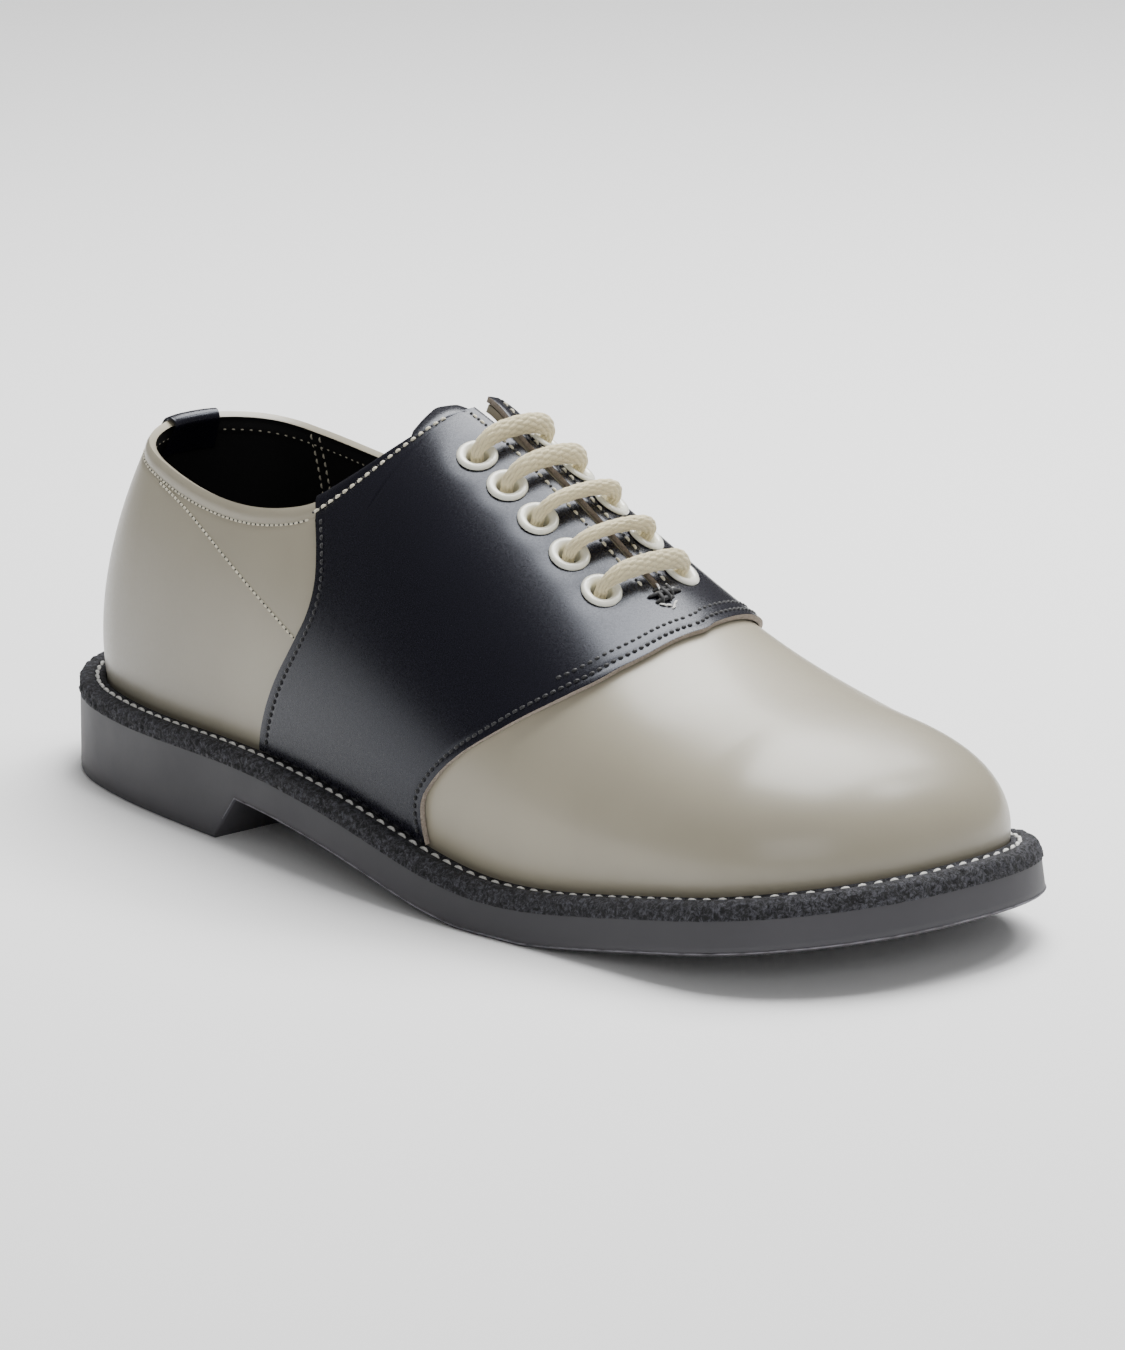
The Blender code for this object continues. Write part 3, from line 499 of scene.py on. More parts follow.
def merge(threshold=0.02 * MM):
    bpy.ops.mesh.remove_doubles(threshold=threshold)


def face_out():
    bpy.ops.mesh.normals_make_consistent(inside=False)


def modify(piece, kind, **settings):
    """Adds a modifier and applies it"""
    only(piece)
    modifier = piece.modifiers.new(kind.title(), kind)
    for name, value in settings.items():
        setattr(modifier, name, value)
    bpy.ops.object.modifier_apply(modifier=modifier.name)


def round_edges(piece, width, segments=3, angle=50):
    modify(piece, "BEVEL", width=width, segments=segments, limit_method="ANGLE",
           angle_limit=math.radians(angle), harden_normals=False)


def smooth(piece, angle=40):
    only(piece)
    bpy.ops.object.shade_smooth_by_angle(angle=math.radians(angle))


def dress(piece, looks, nodes=()):
    """Materials, body and the solids that a piece stands for"""
    for index, look in enumerate(looks):
        if index < len(piece.data.materials):
            piece.data.materials[index] = look
        else:
            piece.data.materials.append(look)
    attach(piece, BODY)
    if nodes:
        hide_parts(*nodes)
    return piece


def add_node(tree, kind, inputs=None, **settings):
    """A node with its settings; an input is a value, or a socket to link from"""
    made = tree.nodes.new(kind)
    for name, value in settings.items():
        setattr(made, name, value)
    for socket, value in (inputs or {}).items():
        if isinstance(value, bpy.types.NodeSocket):
            tree.links.new(value, made.inputs[socket])
        else:
            made.inputs[socket].default_value = value
    return made


def new_material(name, **sockets):
    """A material with its Principled shader's constant sockets set"""
    made = bpy.data.materials.get(name)
    if made:
        return made, None, None
    made = bpy.data.materials.new(name)
    made.use_nodes = True
    shader = made.node_tree.nodes["Principled BSDF"]
    for socket, value in sockets.items():
        socket = socket.replace("_", " ")
        names = {key.lower(): key for key in shader.inputs.keys()}
        shader.inputs[names[socket]].default_value = value
    return made, made.node_tree, shader


def shade(base, factor):
    return (*[min(c * factor, 1.0) for c in base], 1.0)


Grain = namedtuple("Grain", "scale detail roughness distortion", defaults=(0.5, 0.0))


def texture(tree, shader, base, tone, ends=(0.0, 1.0), gloss=None, relief=None):
    """Lets noises in the object's own space drive a shader's colour, gloss and relief.

    tone holds a Grain and the base colour's shades at the two ends of a ramp, gloss a Grain
    with the least and greatest roughness, and relief a Grain with a strength and a depth in
    millimetres. Gives the place, the colour and the normal for a material to build on.
    """
    place_in = add_node(tree, "ShaderNodeTexCoord").outputs["Object"]
    noises = {}

    def value(grain):
        if grain not in noises:
            noises[grain] = add_node(tree, "ShaderNodeTexNoise", {
                "Vector": place_in, "Scale": grain.scale, "Detail": grain.detail,
                "Roughness": grain.roughness, "Distortion": grain.distortion}).outputs["Fac"]
        return noises[grain]

    ramp = add_node(tree, "ShaderNodeValToRGB", {"Fac": value(tone[0])})
    for element, end, factor in zip(ramp.color_ramp.elements, ends, tone[1:]):
        element.position = end
        element.color = shade(base, factor)
    tree.links.new(ramp.outputs["Color"], shader.inputs["Base Color"])
    normal = None
    if gloss:
        rough = add_node(tree, "ShaderNodeMapRange",
                         {"Value": value(gloss[0]), "From Min": 0.3, "From Max": 0.7,
                          "To Min": gloss[1], "To Max": gloss[2]})
        tree.links.new(rough.outputs["Result"], shader.inputs["Roughness"])
    if relief:
        bump = add_node(tree, "ShaderNodeBump", {"Height": value(relief[0]),
                                                 "Strength": relief[1],
                                                 "Distance": relief[2] * MM})
        normal = bump.outputs["Normal"]
        tree.links.new(normal, shader.inputs["Normal"])
    return place_in, ramp.outputs["Color"], normal


def textured(name, base, tone, ends=(0.0, 1.0), gloss=None, relief=None, **sockets):
    """A material that texture() alone describes"""
    made, tree, shader = new_material(name, **sockets)
    if tree:
        texture(tree, shader, base, tone, ends, gloss, relief)
    return made


def calf_leather():
    """Smooth vegetable-retanned calf, aniline finished in greige and brushed to a satin.

    The eye gets an even colour with faint cloudiness, very fine pores and a soft, wide
    highlight from the waxed finish on top.
    """
    made, tree, shader = new_material(
        "calf_aniline_greige", ior=1.5, coat_weight=0.28, coat_roughness=0.22, coat_ior=1.46)
    if not tree:
        return made
    base = colours().vamp
    haze = Grain(900.0, 4.0, 0.65)
    place_in, tone, grain = texture(
        tree, shader, base, (Grain(26.0, 3.0), 0.94, 1.05), ends=(0.30, 0.72),
        gloss=(haze, 0.34, 0.44), relief=(haze, 0.06, 0.15))
    # painted shade: heel and toe are darkened towards the welt
    split = add_node(tree, "ShaderNodeSeparateXYZ", {"Vector": place_in})
    low, rear, toe = [
        add_node(tree, "ShaderNodeMapRange",
                 {"Value": split.outputs[axis], "From Min": start, "From Max": stop,
                  "To Min": first, "To Max": last},
                 interpolation_type="SMOOTHSTEP").outputs["Result"]
        for axis, start, stop, first, last in (
            ("Z", 0.030, 0.088, 1.0, 0.0), ("Y", 0.02, 0.11, 0.0, 0.9),
            ("Y", -0.08, -0.14, 0.0, 0.4))]
    ends = add_node(tree, "ShaderNodeMath", {0: rear, 1: toe}, operation="ADD")
    painted_shade_share = add_node(tree, "ShaderNodeMath", {0: low, 1: ends.outputs["Value"]},
                   operation="MULTIPLY")
    painted_shade_colour = add_node(tree, "ShaderNodeMix",
                         {"Factor": painted_shade_share.outputs["Value"], "A": tone, "B": shade(base, 0.58)},
                         data_type="RGBA")
    tree.links.new(painted_shade_colour.outputs["Result"], shader.inputs["Base Color"])
    # pores about 0.45 mm apart over the plating's finer haze
    pores = add_node(tree, "ShaderNodeTexVoronoi", {"Vector": place_in, "Scale": 2200.0})
    pitted = add_node(tree, "ShaderNodeBump",
                      {"Height": pores.outputs["Distance"], "Strength": 0.05,
                       "Distance": 0.08 * MM, "Normal": grain})
    tree.links.new(pitted.outputs["Normal"], shader.inputs["Normal"])
    return made


def saddle_leather():
    """Corrected-grain leather with a pressed finish film, near-black navy.

    The film gives it a clear, fairly sharp gloss; plate grain 0.6 mm across breaks it a little.
    """
    plate = Grain(1500.0, 3.0, 0.6)
    return textured("corrected_leather_navy", colours().saddle, (Grain(30.0, 2.0), 0.80, 1.25),
                    gloss=(plate, 0.23, 0.32), relief=(plate, 0.05, 0.12), ior=1.5,
                    specular_ior_level=0.36, specular_tint=(0.84, 0.89, 1.0, 1.0))


def lining_leather():
    """Lining leather dyed black right through and napped by wear: soft and nearly matt"""
    nap = Grain(1100.0, 5.0, 0.7)
    return textured("lining_leather_black", colours().lining, (nap, 0.7, 1.6),
                    relief=(nap, 0.35, 0.15), ior=1.45, roughness=0.72)


def raw_edge():
    """The cut edge of chrome-tanned leather: pale tan fibres, quite matt"""
    fibre = Grain(1900.0, 6.0, 0.75)
    return textured("cut_leather_edge", colours().raw_edge, (fibre, 0.50, 1.12),
                    ends=(0.32, 0.62), relief=(fibre, 0.7, 0.3), ior=1.45, roughness=0.86)


def welt_leather():
    """Oak-bark welting leather, dyed black and trimmed by a cutter.

    The trimmed side is rough and open, with loose fibre ends as pale specks in the colour: partly
    the fibres' own paler tone, partly painted glints.
    """
    clump = Grain(900.0, 7.0, 0.78, 0.6)
    return textured("welting_leather_black", colours().welt, (clump, 0.5, 9.0),
                    ends=(0.46, 0.64), relief=(clump, 0.9, 0.6), ior=1.45, roughness=0.8)


def sole_rubber():
    """Carbon-black natural rubber from a polished mould: smooth, dry and grey, with bloom"""
    bloom = Grain(60.0, 4.0, 0.6)
    return textured("moulded_rubber_grey", colours().rubber, (bloom, 0.86, 1.14),
                    gloss=(bloom, 0.50, 0.62), relief=(Grain(1600.0, 3.0, 0.6), 0.12, 0.15),
                    ior=1.52, specular_ior_level=0.4)


def rubber_flash():
    """The thin flash at the mould's joint, coloured paler than the sole"""
    return textured("rubber_flash_grey", [3.2 * c for c in colours().rubber],
                    (Grain(240.0, 3.0), 0.4, 1.2), ends=(0.35, 0.6), ior=1.52, roughness=0.6)


def eyelet_enamel():
    """Stove enamel on a pressed brass ring: ivory, smooth, with a clear gloss"""
    return textured("stove_enamel_ivory", colours().enamel, (Grain(320.0, 2.0), 0.95, 1.0),
                    ior=1.5, roughness=0.24, coat_weight=0.6, coat_roughness=0.08)


def thread(name, base):
    """Twisted polyester sewing thread, lightly waxed: two plies seen as fine slanted lines"""
    return textured(name, base, (Grain(1800.0, 2.0), 0.72, 1.05), ends=(0.3, 0.65), ior=1.5,
                    roughness=0.62, sheen_weight=0.2)


def lace_cotton():
    """Unbleached cotton yarn, braided round: dry, matt and a little hairy.

    The braid's own height, kept on the mesh, darkens the valleys between its strands as painted
    shade.
    """
    made, tree, shader = new_material(
        "braided_cotton_oatmeal", ior=1.45, roughness=0.95, sheen_weight=0.35,
        sheen_roughness=0.6)
    if not tree:
        return made
    base = colours().cotton
    strand = add_node(tree, "ShaderNodeAttribute", attribute_name="strand_height")
    # painted shade: the valleys between the strands are darkened by the braid's height
    tone = add_node(tree, "ShaderNodeValToRGB", {"Fac": strand.outputs["Fac"]})
    tone.color_ramp.elements[0].color = shade(base, 0.30)
    tone.color_ramp.elements[1].position = 0.55
    tone.color_ramp.elements[1].color = shade(base, 1.0)
    place_in = add_node(tree, "ShaderNodeTexCoord").outputs["Object"]
    fluff = add_node(tree, "ShaderNodeTexNoise",
                     {"Vector": place_in, "Scale": 2600.0, "Detail": 4.0, "Roughness": 0.7})
    mixed = add_node(tree, "ShaderNodeMix",
                     {"Factor": fluff.outputs["Fac"], "A": shade(base, 0.78),
                      "B": shade(base, 1.12)}, data_type="RGBA")
    both = add_node(tree, "ShaderNodeMix",
                    {"Factor": 0.5, "A": tone.outputs["Color"], "B": mixed.outputs["Result"]},
                    data_type="RGBA")
    tree.links.new(both.outputs["Result"], shader.inputs["Base Color"])
    grain = add_node(tree, "ShaderNodeBump",
                     {"Height": fluff.outputs["Fac"], "Strength": 0.5, "Distance": 0.25 * MM})
    tree.links.new(grain.outputs["Normal"], shader.inputs["Normal"])
    return made


# Rows near the upper's top edge, by their distance from it in millimetres
TOP_STEPS = (6.6, 5.7, 4.9, 4.4, 3.9, 3.2, 2.4, 1.6, 0.85, 0.0)


def rows_of(points, samples, rows):
    """Shares of the samples at which the rows of each column lie, and their depth.

    points holds the samples up each column; the top rows keep their distance to its end.
    """
    steps = np.linalg.norm(np.diff(points, axis=0), axis=-1)
    walked = np.vstack([np.zeros(points.shape[1]), np.cumsum(steps, axis=0)])
    down = walked[-1] - walked
    top = np.array(TOP_STEPS) * MM
    low = np.linspace(0, 1, rows + 1 - len(top) + 1)[:-1]
    shares = np.empty((rows + 1, points.shape[1]))
    depth = np.empty_like(shares)
    for i in range(points.shape[1]):
        high = np.interp(top, down[::-1, i], samples[::-1])
        shares[:, i] = np.append(low * high[0], high)
        depth[:, i] = np.interp(shares[:, i], samples, down[:, i])
    return shares, depth


def bump_at(distance, middle, width):
    return np.exp(-((distance - middle) / width) ** 2)


def eyelet_seats():
    """Centre and axis of each eyelet with its side and pair, pair 0 at the top"""
    seats = []
    for side in (1, -1):
        for pair in range(EYELET_PAIRS):
            turn = turn_at(EYELET_FIRST + pair * EYELET_STEP, side)
            centre = last_point(turn, EYELET_CLIMBS[side])
            seats.append((side, pair, centre, last_normal(turn, EYELET_CLIMBS[side])))
    return seats


def dimples(points, depth, radius):
    """How deep the leather is pressed down by the eyelets' rims"""
    pressed = np.zeros(points.shape[:-1])
    for _, _, centre, _ in eyelet_seats():
        away = np.linalg.norm(points - centre, axis=-1)
        pressed += depth * np.exp(-(away / radius) ** 4)
    return pressed


CURL_HEIGHT = 2.6 * MM
CURL_REACH = 17.0 * MM


def corner_curl(turn, points):
    """How far the lace has pulled up the top corner of the far facing"""
    corner_turn = turn_at(SLIT_START + 1.5 * MM, -1)
    corner = last_point(corner_turn, reach_at(corner_turn))
    away = np.linalg.norm(points - corner, axis=-1)
    share = np.clip(1 - away / CURL_REACH, 0, 1)
    return CURL_HEIGHT * share ** 2 * (3 - 2 * share) * (np.mod(turn, 1.0) > 0.5)


def punch(piece, radius):
    """Round holes for the eyelets: faces inside go, and the rim is drawn to the circle"""
    bm = bmesh.new()
    bm.from_mesh(piece.data)
    for _, _, centre, axis in eyelet_seats():
        middle = Vector(place(centre))
        along = Vector(place(centre + axis)) - middle
        along.normalize()

        def away(point):
            offset = point - middle
            return (offset - along * offset.dot(along)).length, offset.length

        inside = [face for face in bm.faces
                  if away(face.calc_center_median())[1] < 2.4 * radius
                  and away(face.calc_center_median())[0] < radius]
        rim = {vert for face in inside for vert in face.verts}
        bmesh.ops.delete(bm, geom=inside, context="FACES")
        for vert in rim:
            if not vert.is_valid or not vert.is_boundary:
                continue
            offset = vert.co - middle
            height = along * offset.dot(along)
            spoke = offset - height
            vert.co = middle + height + spoke.normalized() * radius
    loose = [vert for vert in bm.verts if not vert.link_faces]
    bmesh.ops.delete(bm, geom=loose, context="VERTS")
    bm.to_mesh(piece.data)
    bm.free()


# Low relief of the leather: the rolled collar and the grooves that its seams press in
ROLL_HEIGHT = 0.28 * MM
ROLL_INSET = 1.7 * MM
ROLL_WIDTH = 1.2 * MM
GROOVE_DEPTH = 0.30 * MM
GROOVE_WIDTH = 0.75 * MM
BACK_GROOVE_WIDTH = 0.9 * MM
OUTLINE_LENGTH = 700 * MM
SADDLE_GROOVE_DEPTH = 0.13 * MM
SADDLE_GROOVE_WIDTH = 0.8 * MM
DIMPLE_DEPTH = 0.25 * MM
DIMPLE_RADIUS = 6.6 * MM

UPPER_COLUMNS = 440
UPPER_ROWS = 74
FOOT_ROWS = 2
HOLE_RADIUS = 3.4 * MM


def collar_share(along):
    """1 along the collar, falling to 0 where the slit begins"""
    return np.clip((SLIT_START - 3 * MM - along) / (6 * MM), 0, 1)


def matched_turns(u):
    """Turns once round, whose medial half lies level with the lateral one over the ridge"""
    lateral = np.minimum(u, 1 - u)
    along, _ = outline(lateral, -WELT_REACH)
    inner = turn_at(np.clip(along, FAN_HEEL, FAN_TOE), -1)
    start, stop = turn_at(FAN_HEEL, 1), turn_at(FAN_TOE, 1)
    heelward = 1 - (1 - turn_at(FAN_HEEL, -1)) * lateral / start
    toeward = 0.5 + (turn_at(FAN_TOE, -1) - 0.5) * (0.5 - lateral) / (0.5 - stop)
    inner = np.where(lateral < start, heelward, np.where(lateral > stop, toeward, inner))
    return np.where(u <= 0.5, u, inner)


def upper_rows(turn):
    """Climb and depth below the topline for the upper's rows, on each turn"""
    samples = np.linspace(0, 1, 161)
    climb = wall_climb(samples[:, None], reach_at(turn))
    points = last_point(turn + 0 * climb, climb)
    shares, depth = rows_of(points, samples, UPPER_ROWS - FOOT_ROWS)
    return wall_climb(shares, reach_at(turn)), depth


def upper_form(u, v):
    """The upper's outer face: a foot inside the welt, the wall and the rolled collar"""
    u = matched_turns(u[0])[None, :]
    turn = u + 0 * v[FOOT_ROWS:]
    climb, depth = upper_rows(u)
    along, _ = outline(turn, -WELT_REACH)
    collar = collar_share(along)
    roll = ROLL_HEIGHT * bump_at(depth, ROLL_INSET, ROLL_WIDTH)
    channel = GROOVE_DEPTH * bump_at(depth, sizes().seam_inset, GROOVE_WIDTH)
    lift = collar * (roll - channel)
    from_back = np.minimum(turn, 1 - turn) * OUTLINE_LENGTH
    lift = lift - GROOVE_DEPTH * bump_at(from_back, 0, BACK_GROOVE_WIDTH)
    lift = lift + corner_curl(turn, last_point(turn, climb))
    wall = over_last(turn, climb, lift)
    foot = []
    for row in range(FOOT_ROWS):
        share = 1 - row / FOOT_ROWS
        foot_along, foot_across = outline(u[0], -WELT_REACH)
        up = welt_height(foot_along) - share * (WELT_THICK - MEETING_GAP)
        foot.append(np.stack([foot_along, foot_across, up], axis=-1))
    return place(np.concatenate([np.stack(foot), wall]))


class SHOE_OT_upper(bpy.types.Operator):
    """Lasts the upper: vamp and quarters outside, lining inside, cut edges between"""
    bl_idname = "shoe.upper"
    bl_label = "Upper"

    def execute(self, context):
        piece = lasted_sheet("upper_leather", UPPER_COLUMNS, UPPER_ROWS, upper_form)
        in_edit(piece, merge)
        settle_pole(piece)
        punch(piece, HOLE_RADIUS)
        looks = calf_leather(), lining_leather(), calf_leather()
        for look in looks:
            piece.data.materials.append(look)
        modify(piece, "SOLIDIFY", thickness=sizes().upper_wall, offset=-1.0,
               use_even_offset=False, material_offset=1, material_offset_rim=2)
        round_edges(piece, 0.65 * MM)
        smooth(piece)
        dress(piece, looks, ["upper"])
        return {"FINISHED"}


POLE_INNER = 8.0 * MM
POLE_OUTER = 30.0 * MM


def settle_pole(piece):
    """Lays an even dome through the leather round the point where the toe's ribs meet"""
    points = corners(piece)
    x, y, z = (points - place(last_point(0.5, 1.0))).T / POLE_OUTER
    away = np.hypot(x, y)
    near = (away < 1) & (np.abs(z) < 1)
    powers = [(i, j) for i in range(5) for j in range(5 - i)]
    terms = np.column_stack([x ** i * y ** j for i, j in powers])
    weight = np.sqrt(away[near] + 0.01)[:, None]
    found = np.linalg.lstsq(terms[near] * weight, z[near] * weight[:, 0], rcond=None)[0]
    share = np.clip((1 - away) / (1 - POLE_INNER / POLE_OUTER), 0, 1)
    share = share ** 2 * (3 - 2 * share) * near
    points[:, 2] += share * (terms @ found - z) * POLE_OUTER
    move_corners(piece, points)


SADDLE_COLUMNS = 118
SADDLE_ROWS = 92
SADDLE_FOOT = 0.006
EDGE_EASE = (-0.045, -0.03, -0.015, 0.0, 0.015, 0.03, 0.045)


def saddle_edge(name, climb):
    """Where an edge of the saddle lies at a climb, its table's corners eased"""
    return MM * sum(np.interp(climb + step, column(SADDLE_EDGES, "climb"),
                              column(SADDLE_EDGES, name)) for step in EDGE_EASE) / len(EDGE_EASE)


def saddle_place(side, share, row):
    """Turn and climb of points of the saddle, between its rear and its front edge"""
    climb = row + 0 * share
    for _ in range(30):
        rear, front = saddle_edge("rear", climb), saddle_edge("front_lat", climb)
        along = rear + share * (front - rear)
        if side < 0:
            pull = share ** 3 * np.clip((1 - climb) / 0.06, 0, 1)
            along = along + pull * (saddle_edge("front_med", climb) - front)
        turn = turn_at(along, side)
        climb = 0.5 * (climb + wall_climb(row, reach_at(turn)))
    return turn, SADDLE_FOOT + (1 - SADDLE_FOOT) * climb


def saddle_shares(count):
    """Shares from the rear edge to the front one, closer together near both"""
    even = np.linspace(0, 1, count + 1)
    return even - 0.085 * np.sin(2 * np.pi * even)


def saddle_form(side):
    """The saddle's outer face on one side of the shoe"""
    def form(u, v):
        across = saddle_shares(SADDLE_COLUMNS)[None, :]
        samples = np.linspace(0, 1, 121)
        turn, climb = saddle_place(side, across, samples[:, None])
        rows, depth = rows_of(last_point(turn, climb), samples, SADDLE_ROWS)
        turn, climb = saddle_place(side, across + 0 * rows, rows)
        bare = last_point(turn, climb)
        steps = np.linalg.norm(np.diff(bare, axis=1), axis=-1)
        walked = np.hstack([np.zeros((len(bare), 1)), np.cumsum(steps, axis=1)])
        to_front = walked[:, -1:] - walked
        along, _ = outline(turn, -WELT_REACH)
        collar = collar_share(along)
        facing = np.clip((along - SLIT_START + 6 * MM) / (6 * MM), 0, 1)
        facing = facing * np.clip((SLIT_END - along) / (2 * MM), 0, 1)
        pressed = SADDLE_GROOVE_DEPTH * bump_at(walked, REAR_SEAM, SADDLE_GROOVE_WIDTH)
        pressed += SADDLE_GROOVE_DEPTH * bump_at(to_front, FRONT_SEAM, SADDLE_GROOVE_WIDTH)
        pressed += collar * 0.22 * MM * bump_at(depth, sizes().seam_inset, 0.9 * MM)
        pressed += facing * SADDLE_GROOVE_DEPTH * bump_at(depth, FACING_SEAM, SADDLE_GROOVE_WIDTH)
        pressed -= collar * 0.25 * MM * bump_at(depth, 1.5 * MM, 1.1 * MM)
        pressed += dimples(bare, DIMPLE_DEPTH, DIMPLE_RADIUS)
        lift = SADDLE_LIFT + sizes().saddle_wall - pressed + corner_curl(turn, bare)
        points = place(over_last(turn, climb, lift))
        return points if side > 0 else points[:, ::-1]
    return form


REAR_SEAM = 2.9 * MM
FRONT_SEAM = 2.3 * MM
SECOND_SEAM = 5.0 * MM
FACING_SEAM = 2.6 * MM
DARK_EDGE_END = 138.0 * MM


class SHOE_OT_saddle(bpy.types.Operator):
    """Lasts the saddle over the upper, its two halves joined over the vamp"""
    bl_idname = "shoe.saddle"
    bl_label = "Saddle"

    def execute(self, context):
        near = lasted_sheet("saddle_leather", SADDLE_COLUMNS, SADDLE_ROWS, saddle_form(1))
        far = lasted_sheet("saddle_far_half", SADDLE_COLUMNS, SADDLE_ROWS, saddle_form(-1))
        only(near)
        far.select_set(True)
        bpy.ops.object.join()
        in_edit(near, merge)
        punch(near, HOLE_RADIUS)
        looks = saddle_leather(), raw_edge()
        for look in looks:
            near.data.materials.append(look)
        modify(near, "SOLIDIFY", thickness=sizes().saddle_wall, offset=-1.0,
               use_even_offset=False, material_offset=0, material_offset_rim=1)
        round_edges(near, 0.28 * MM, segments=2)
        # cut edges behind this point take the saddle's dark finish instead of the raw-edge tan
        for face in near.data.polygons:
            along = SOLE_LENGTH / 2 - MIDDLE_Y - face.center.y
            if along < DARK_EDGE_END:
                face.material_index = 0
        smooth(near)
        dress(near, looks, ["saddle"])
        return {"FINISHED"}


TONGUE_COLUMNS = 60
TONGUE_ROWS = 90


def tongue_form(u, v):
    """The tongue under the facings, from the vamp up past their top, its end wavy"""
    across = 2 * u - 1 + 0 * v
    first, last = TONGUE[0].along * MM, TONGUE[-1].along * MM
    along = last + (first - last) * v + 0 * u
    wave = 0.7 * MM * np.sin(across * 5.2 + 0.9) + 1.5 * MM * across ** 2
    along = along + wave * np.clip((first + 14 * MM - along) / (14 * MM), 0, 1) ** 2
    edge = np.where(across > 0, turn_at(along, -1), turn_at(along, 1))
    reach = share_at(TONGUE, "climb", along)
    climb = reach + (1 - reach) * (1 - np.abs(across))
    depth = length_at(TONGUE, "depth", along)
    return place(over_last(edge, climb, -depth))


class SHOE_OT_tongue(bpy.types.Operator):
    """Shapes the tongue"""
    bl_idname = "shoe.tongue"
    bl_label = "Tongue"

    def execute(self, context):
        piece = lasted_sheet("tongue_leather", TONGUE_COLUMNS, TONGUE_ROWS, tongue_form)
        modify(piece, "SOLIDIFY", thickness=sizes().tongue_wall, offset=-1.0)
        round_edges(piece, 0.5 * MM)
        smooth(piece)
        dress(piece, (saddle_leather(),), ["tongue"])
        return {"FINISHED"}


TAB_COLUMNS = 36
TAB_ROWS = 46
TAB_RIB_SHARE = 2 / 7
TAB_LIFT = 1.25 * MM
TAB_WALL = 0.7 * MM
TAB_OUTER_DROP = 4.6 * MM
TAB_INNER_DROP = 9.0 * MM


def heel_tab_form(u, v):
    """A strip over the collar at the back seam, down the outside and the inside"""
    half = float(turn_at(FAN_HEEL, 1)) * TAB_RIB_SHARE
    turn = (2 * u - 1) * half + 0 * v
    radius = sizes().upper_wall / 2 + TAB_LIFT
    arc = math.pi * radius
    whole = TAB_OUTER_DROP + arc + TAB_INNER_DROP
    walked = v * whole + 0 * u
    angle = np.clip((walked - TAB_OUTER_DROP) / radius, 0, math.pi)
    rise = radius * np.sin(angle) - TAB_LIFT + 0.5 * MM
    rise = rise - np.clip(TAB_OUTER_DROP - walked, 0, None)
    rise = rise - np.clip(walked - TAB_OUTER_DROP - arc, 0, None)
    lift = radius * np.cos(angle) - sizes().upper_wall / 2
    edge = reach_at(turn)
    span = last_point(turn, edge) - last_point(turn, edge - 0.05)
    climb = edge + rise * 0.05 / np.linalg.norm(span, axis=-1)
    return place(over_last(np.mod(turn, 1.0), climb, lift))


class SHOE_OT_heel_tab(bpy.types.Operator):
    """Folds the heel tab over the collar"""
    bl_idname = "shoe.heel_tab"
    bl_label = "Heel tab"

    def execute(self, context):
        piece = lasted_sheet("heel_tab_leather", TAB_COLUMNS, TAB_ROWS, heel_tab_form)
        modify(piece, "SOLIDIFY", thickness=TAB_WALL, offset=-1.0)
        round_edges(piece, 0.22 * MM, segments=2)
        smooth(piece)
        dress(piece, (saddle_leather(),), ["heel_tab"])
        return {"FINISHED"}


SOLE_COLUMNS = 240
SOLE_ACROSS = 14
BREAST_COLUMNS = (70, 75)


def sole_turns(u, side, reach=0.0):
    """Turns down one side of the sole, with two columns on the heel's breast"""
    knots = (0.0, BREAST_COLUMNS[0] / SOLE_COLUMNS, BREAST_COLUMNS[1] / SOLE_COLUMNS, 1.0)
    ends = (0.0 if side > 0 else 1.0, float(turn_at(BREAST_FOOT, side, reach)),
            float(turn_at(BREAST_HEAD, side, reach)), 0.5)
    return np.interp(u, knots, ends)


def sole_floor(along):
    """The underside of the sole: heel, leaning breast, waist, tread and toe spring"""
    waist = np.maximum(welt_height(along) - WELT_THICK - FORE_SOLE_THICK, 0.0)
    share = np.clip((along - BREAST_FOOT) / (BREAST_HEAD - BREAST_FOOT), 0, 1)
    return np.where(share < 1, waist * share, waist)


def sole_sheet(reach, height):
    """A form across the whole sole, at a reach past its outline and a height by distance"""
    def form(u, v):
        ends = []
        for side in (1, -1):
            turn = sole_turns(u, side)
            edge_along, _ = outline(turn)
            along, across = outline(turn, reach)
            ends.append(np.stack([along, across, height(edge_along)], axis=-1))
        lateral, medial = ends
        return place(lateral + (medial - lateral) * v[..., None])
    return form


class SHOE_OT_outsole(bpy.types.Operator):
    """Moulds the sole: its tread sheet is extruded up through the steps of its side"""
    bl_idname = "shoe.outsole"
    bl_label = "Outsole"

    def execute(self, context):
        flare = sole_flare(EDGE[:, 0])
        tread = sole_sheet(flare - SOLE_BEVEL, sole_floor)
        piece = lasted_sheet("outsole_rubber", SOLE_COLUMNS, SOLE_ACROSS, tread)
        shares = grid_shares(piece, SOLE_COLUMNS, SOLE_ACROSS)
        for axis, name in enumerate(("column", "row")):
            made = piece.data.attributes.new(name, "INT", "POINT")
            made.data.foreach_set("value", shares[:, axis].astype(np.int32))

        def top(along):
            return welt_height(along) - WELT_THICK

        steps = [(flare - 0.25 * MM, lambda a: sole_floor(a) + 0.25 * MM),
                 (flare, lambda a: sole_floor(a) + SOLE_BEVEL)]
        for share in (0.2, 0.4, 0.6, 0.8, 1.0):
            steps.append((flare * (1 - 0.6 * share),
                          lambda a, s=share: (1 - s) * (sole_floor(a) + SOLE_BEVEL) + s * top(a)))
        for number, (reach, height) in enumerate(steps):
            only(piece)
            bpy.ops.object.mode_set(mode="EDIT")
            if number == 0:
                bpy.ops.mesh.select_all(action="SELECT")
            bpy.ops.mesh.extrude_region_move()
            bpy.ops.object.mode_set(mode="OBJECT")
            set_sheet(piece, sole_sheet(reach, height))
        in_edit(piece, merge, face_out)
        for name in ("column", "row"):
            piece.data.attributes.remove(piece.data.attributes[name])
        round_edges(piece, 0.35 * MM, segments=2, angle=42)
        smooth(piece, 50)
        dress(piece, (sole_rubber(),), ["outsole"])
        return {"FINISHED"}


PARTING_START = 96.0 * MM
PARTING_RADIUS = 0.22 * MM


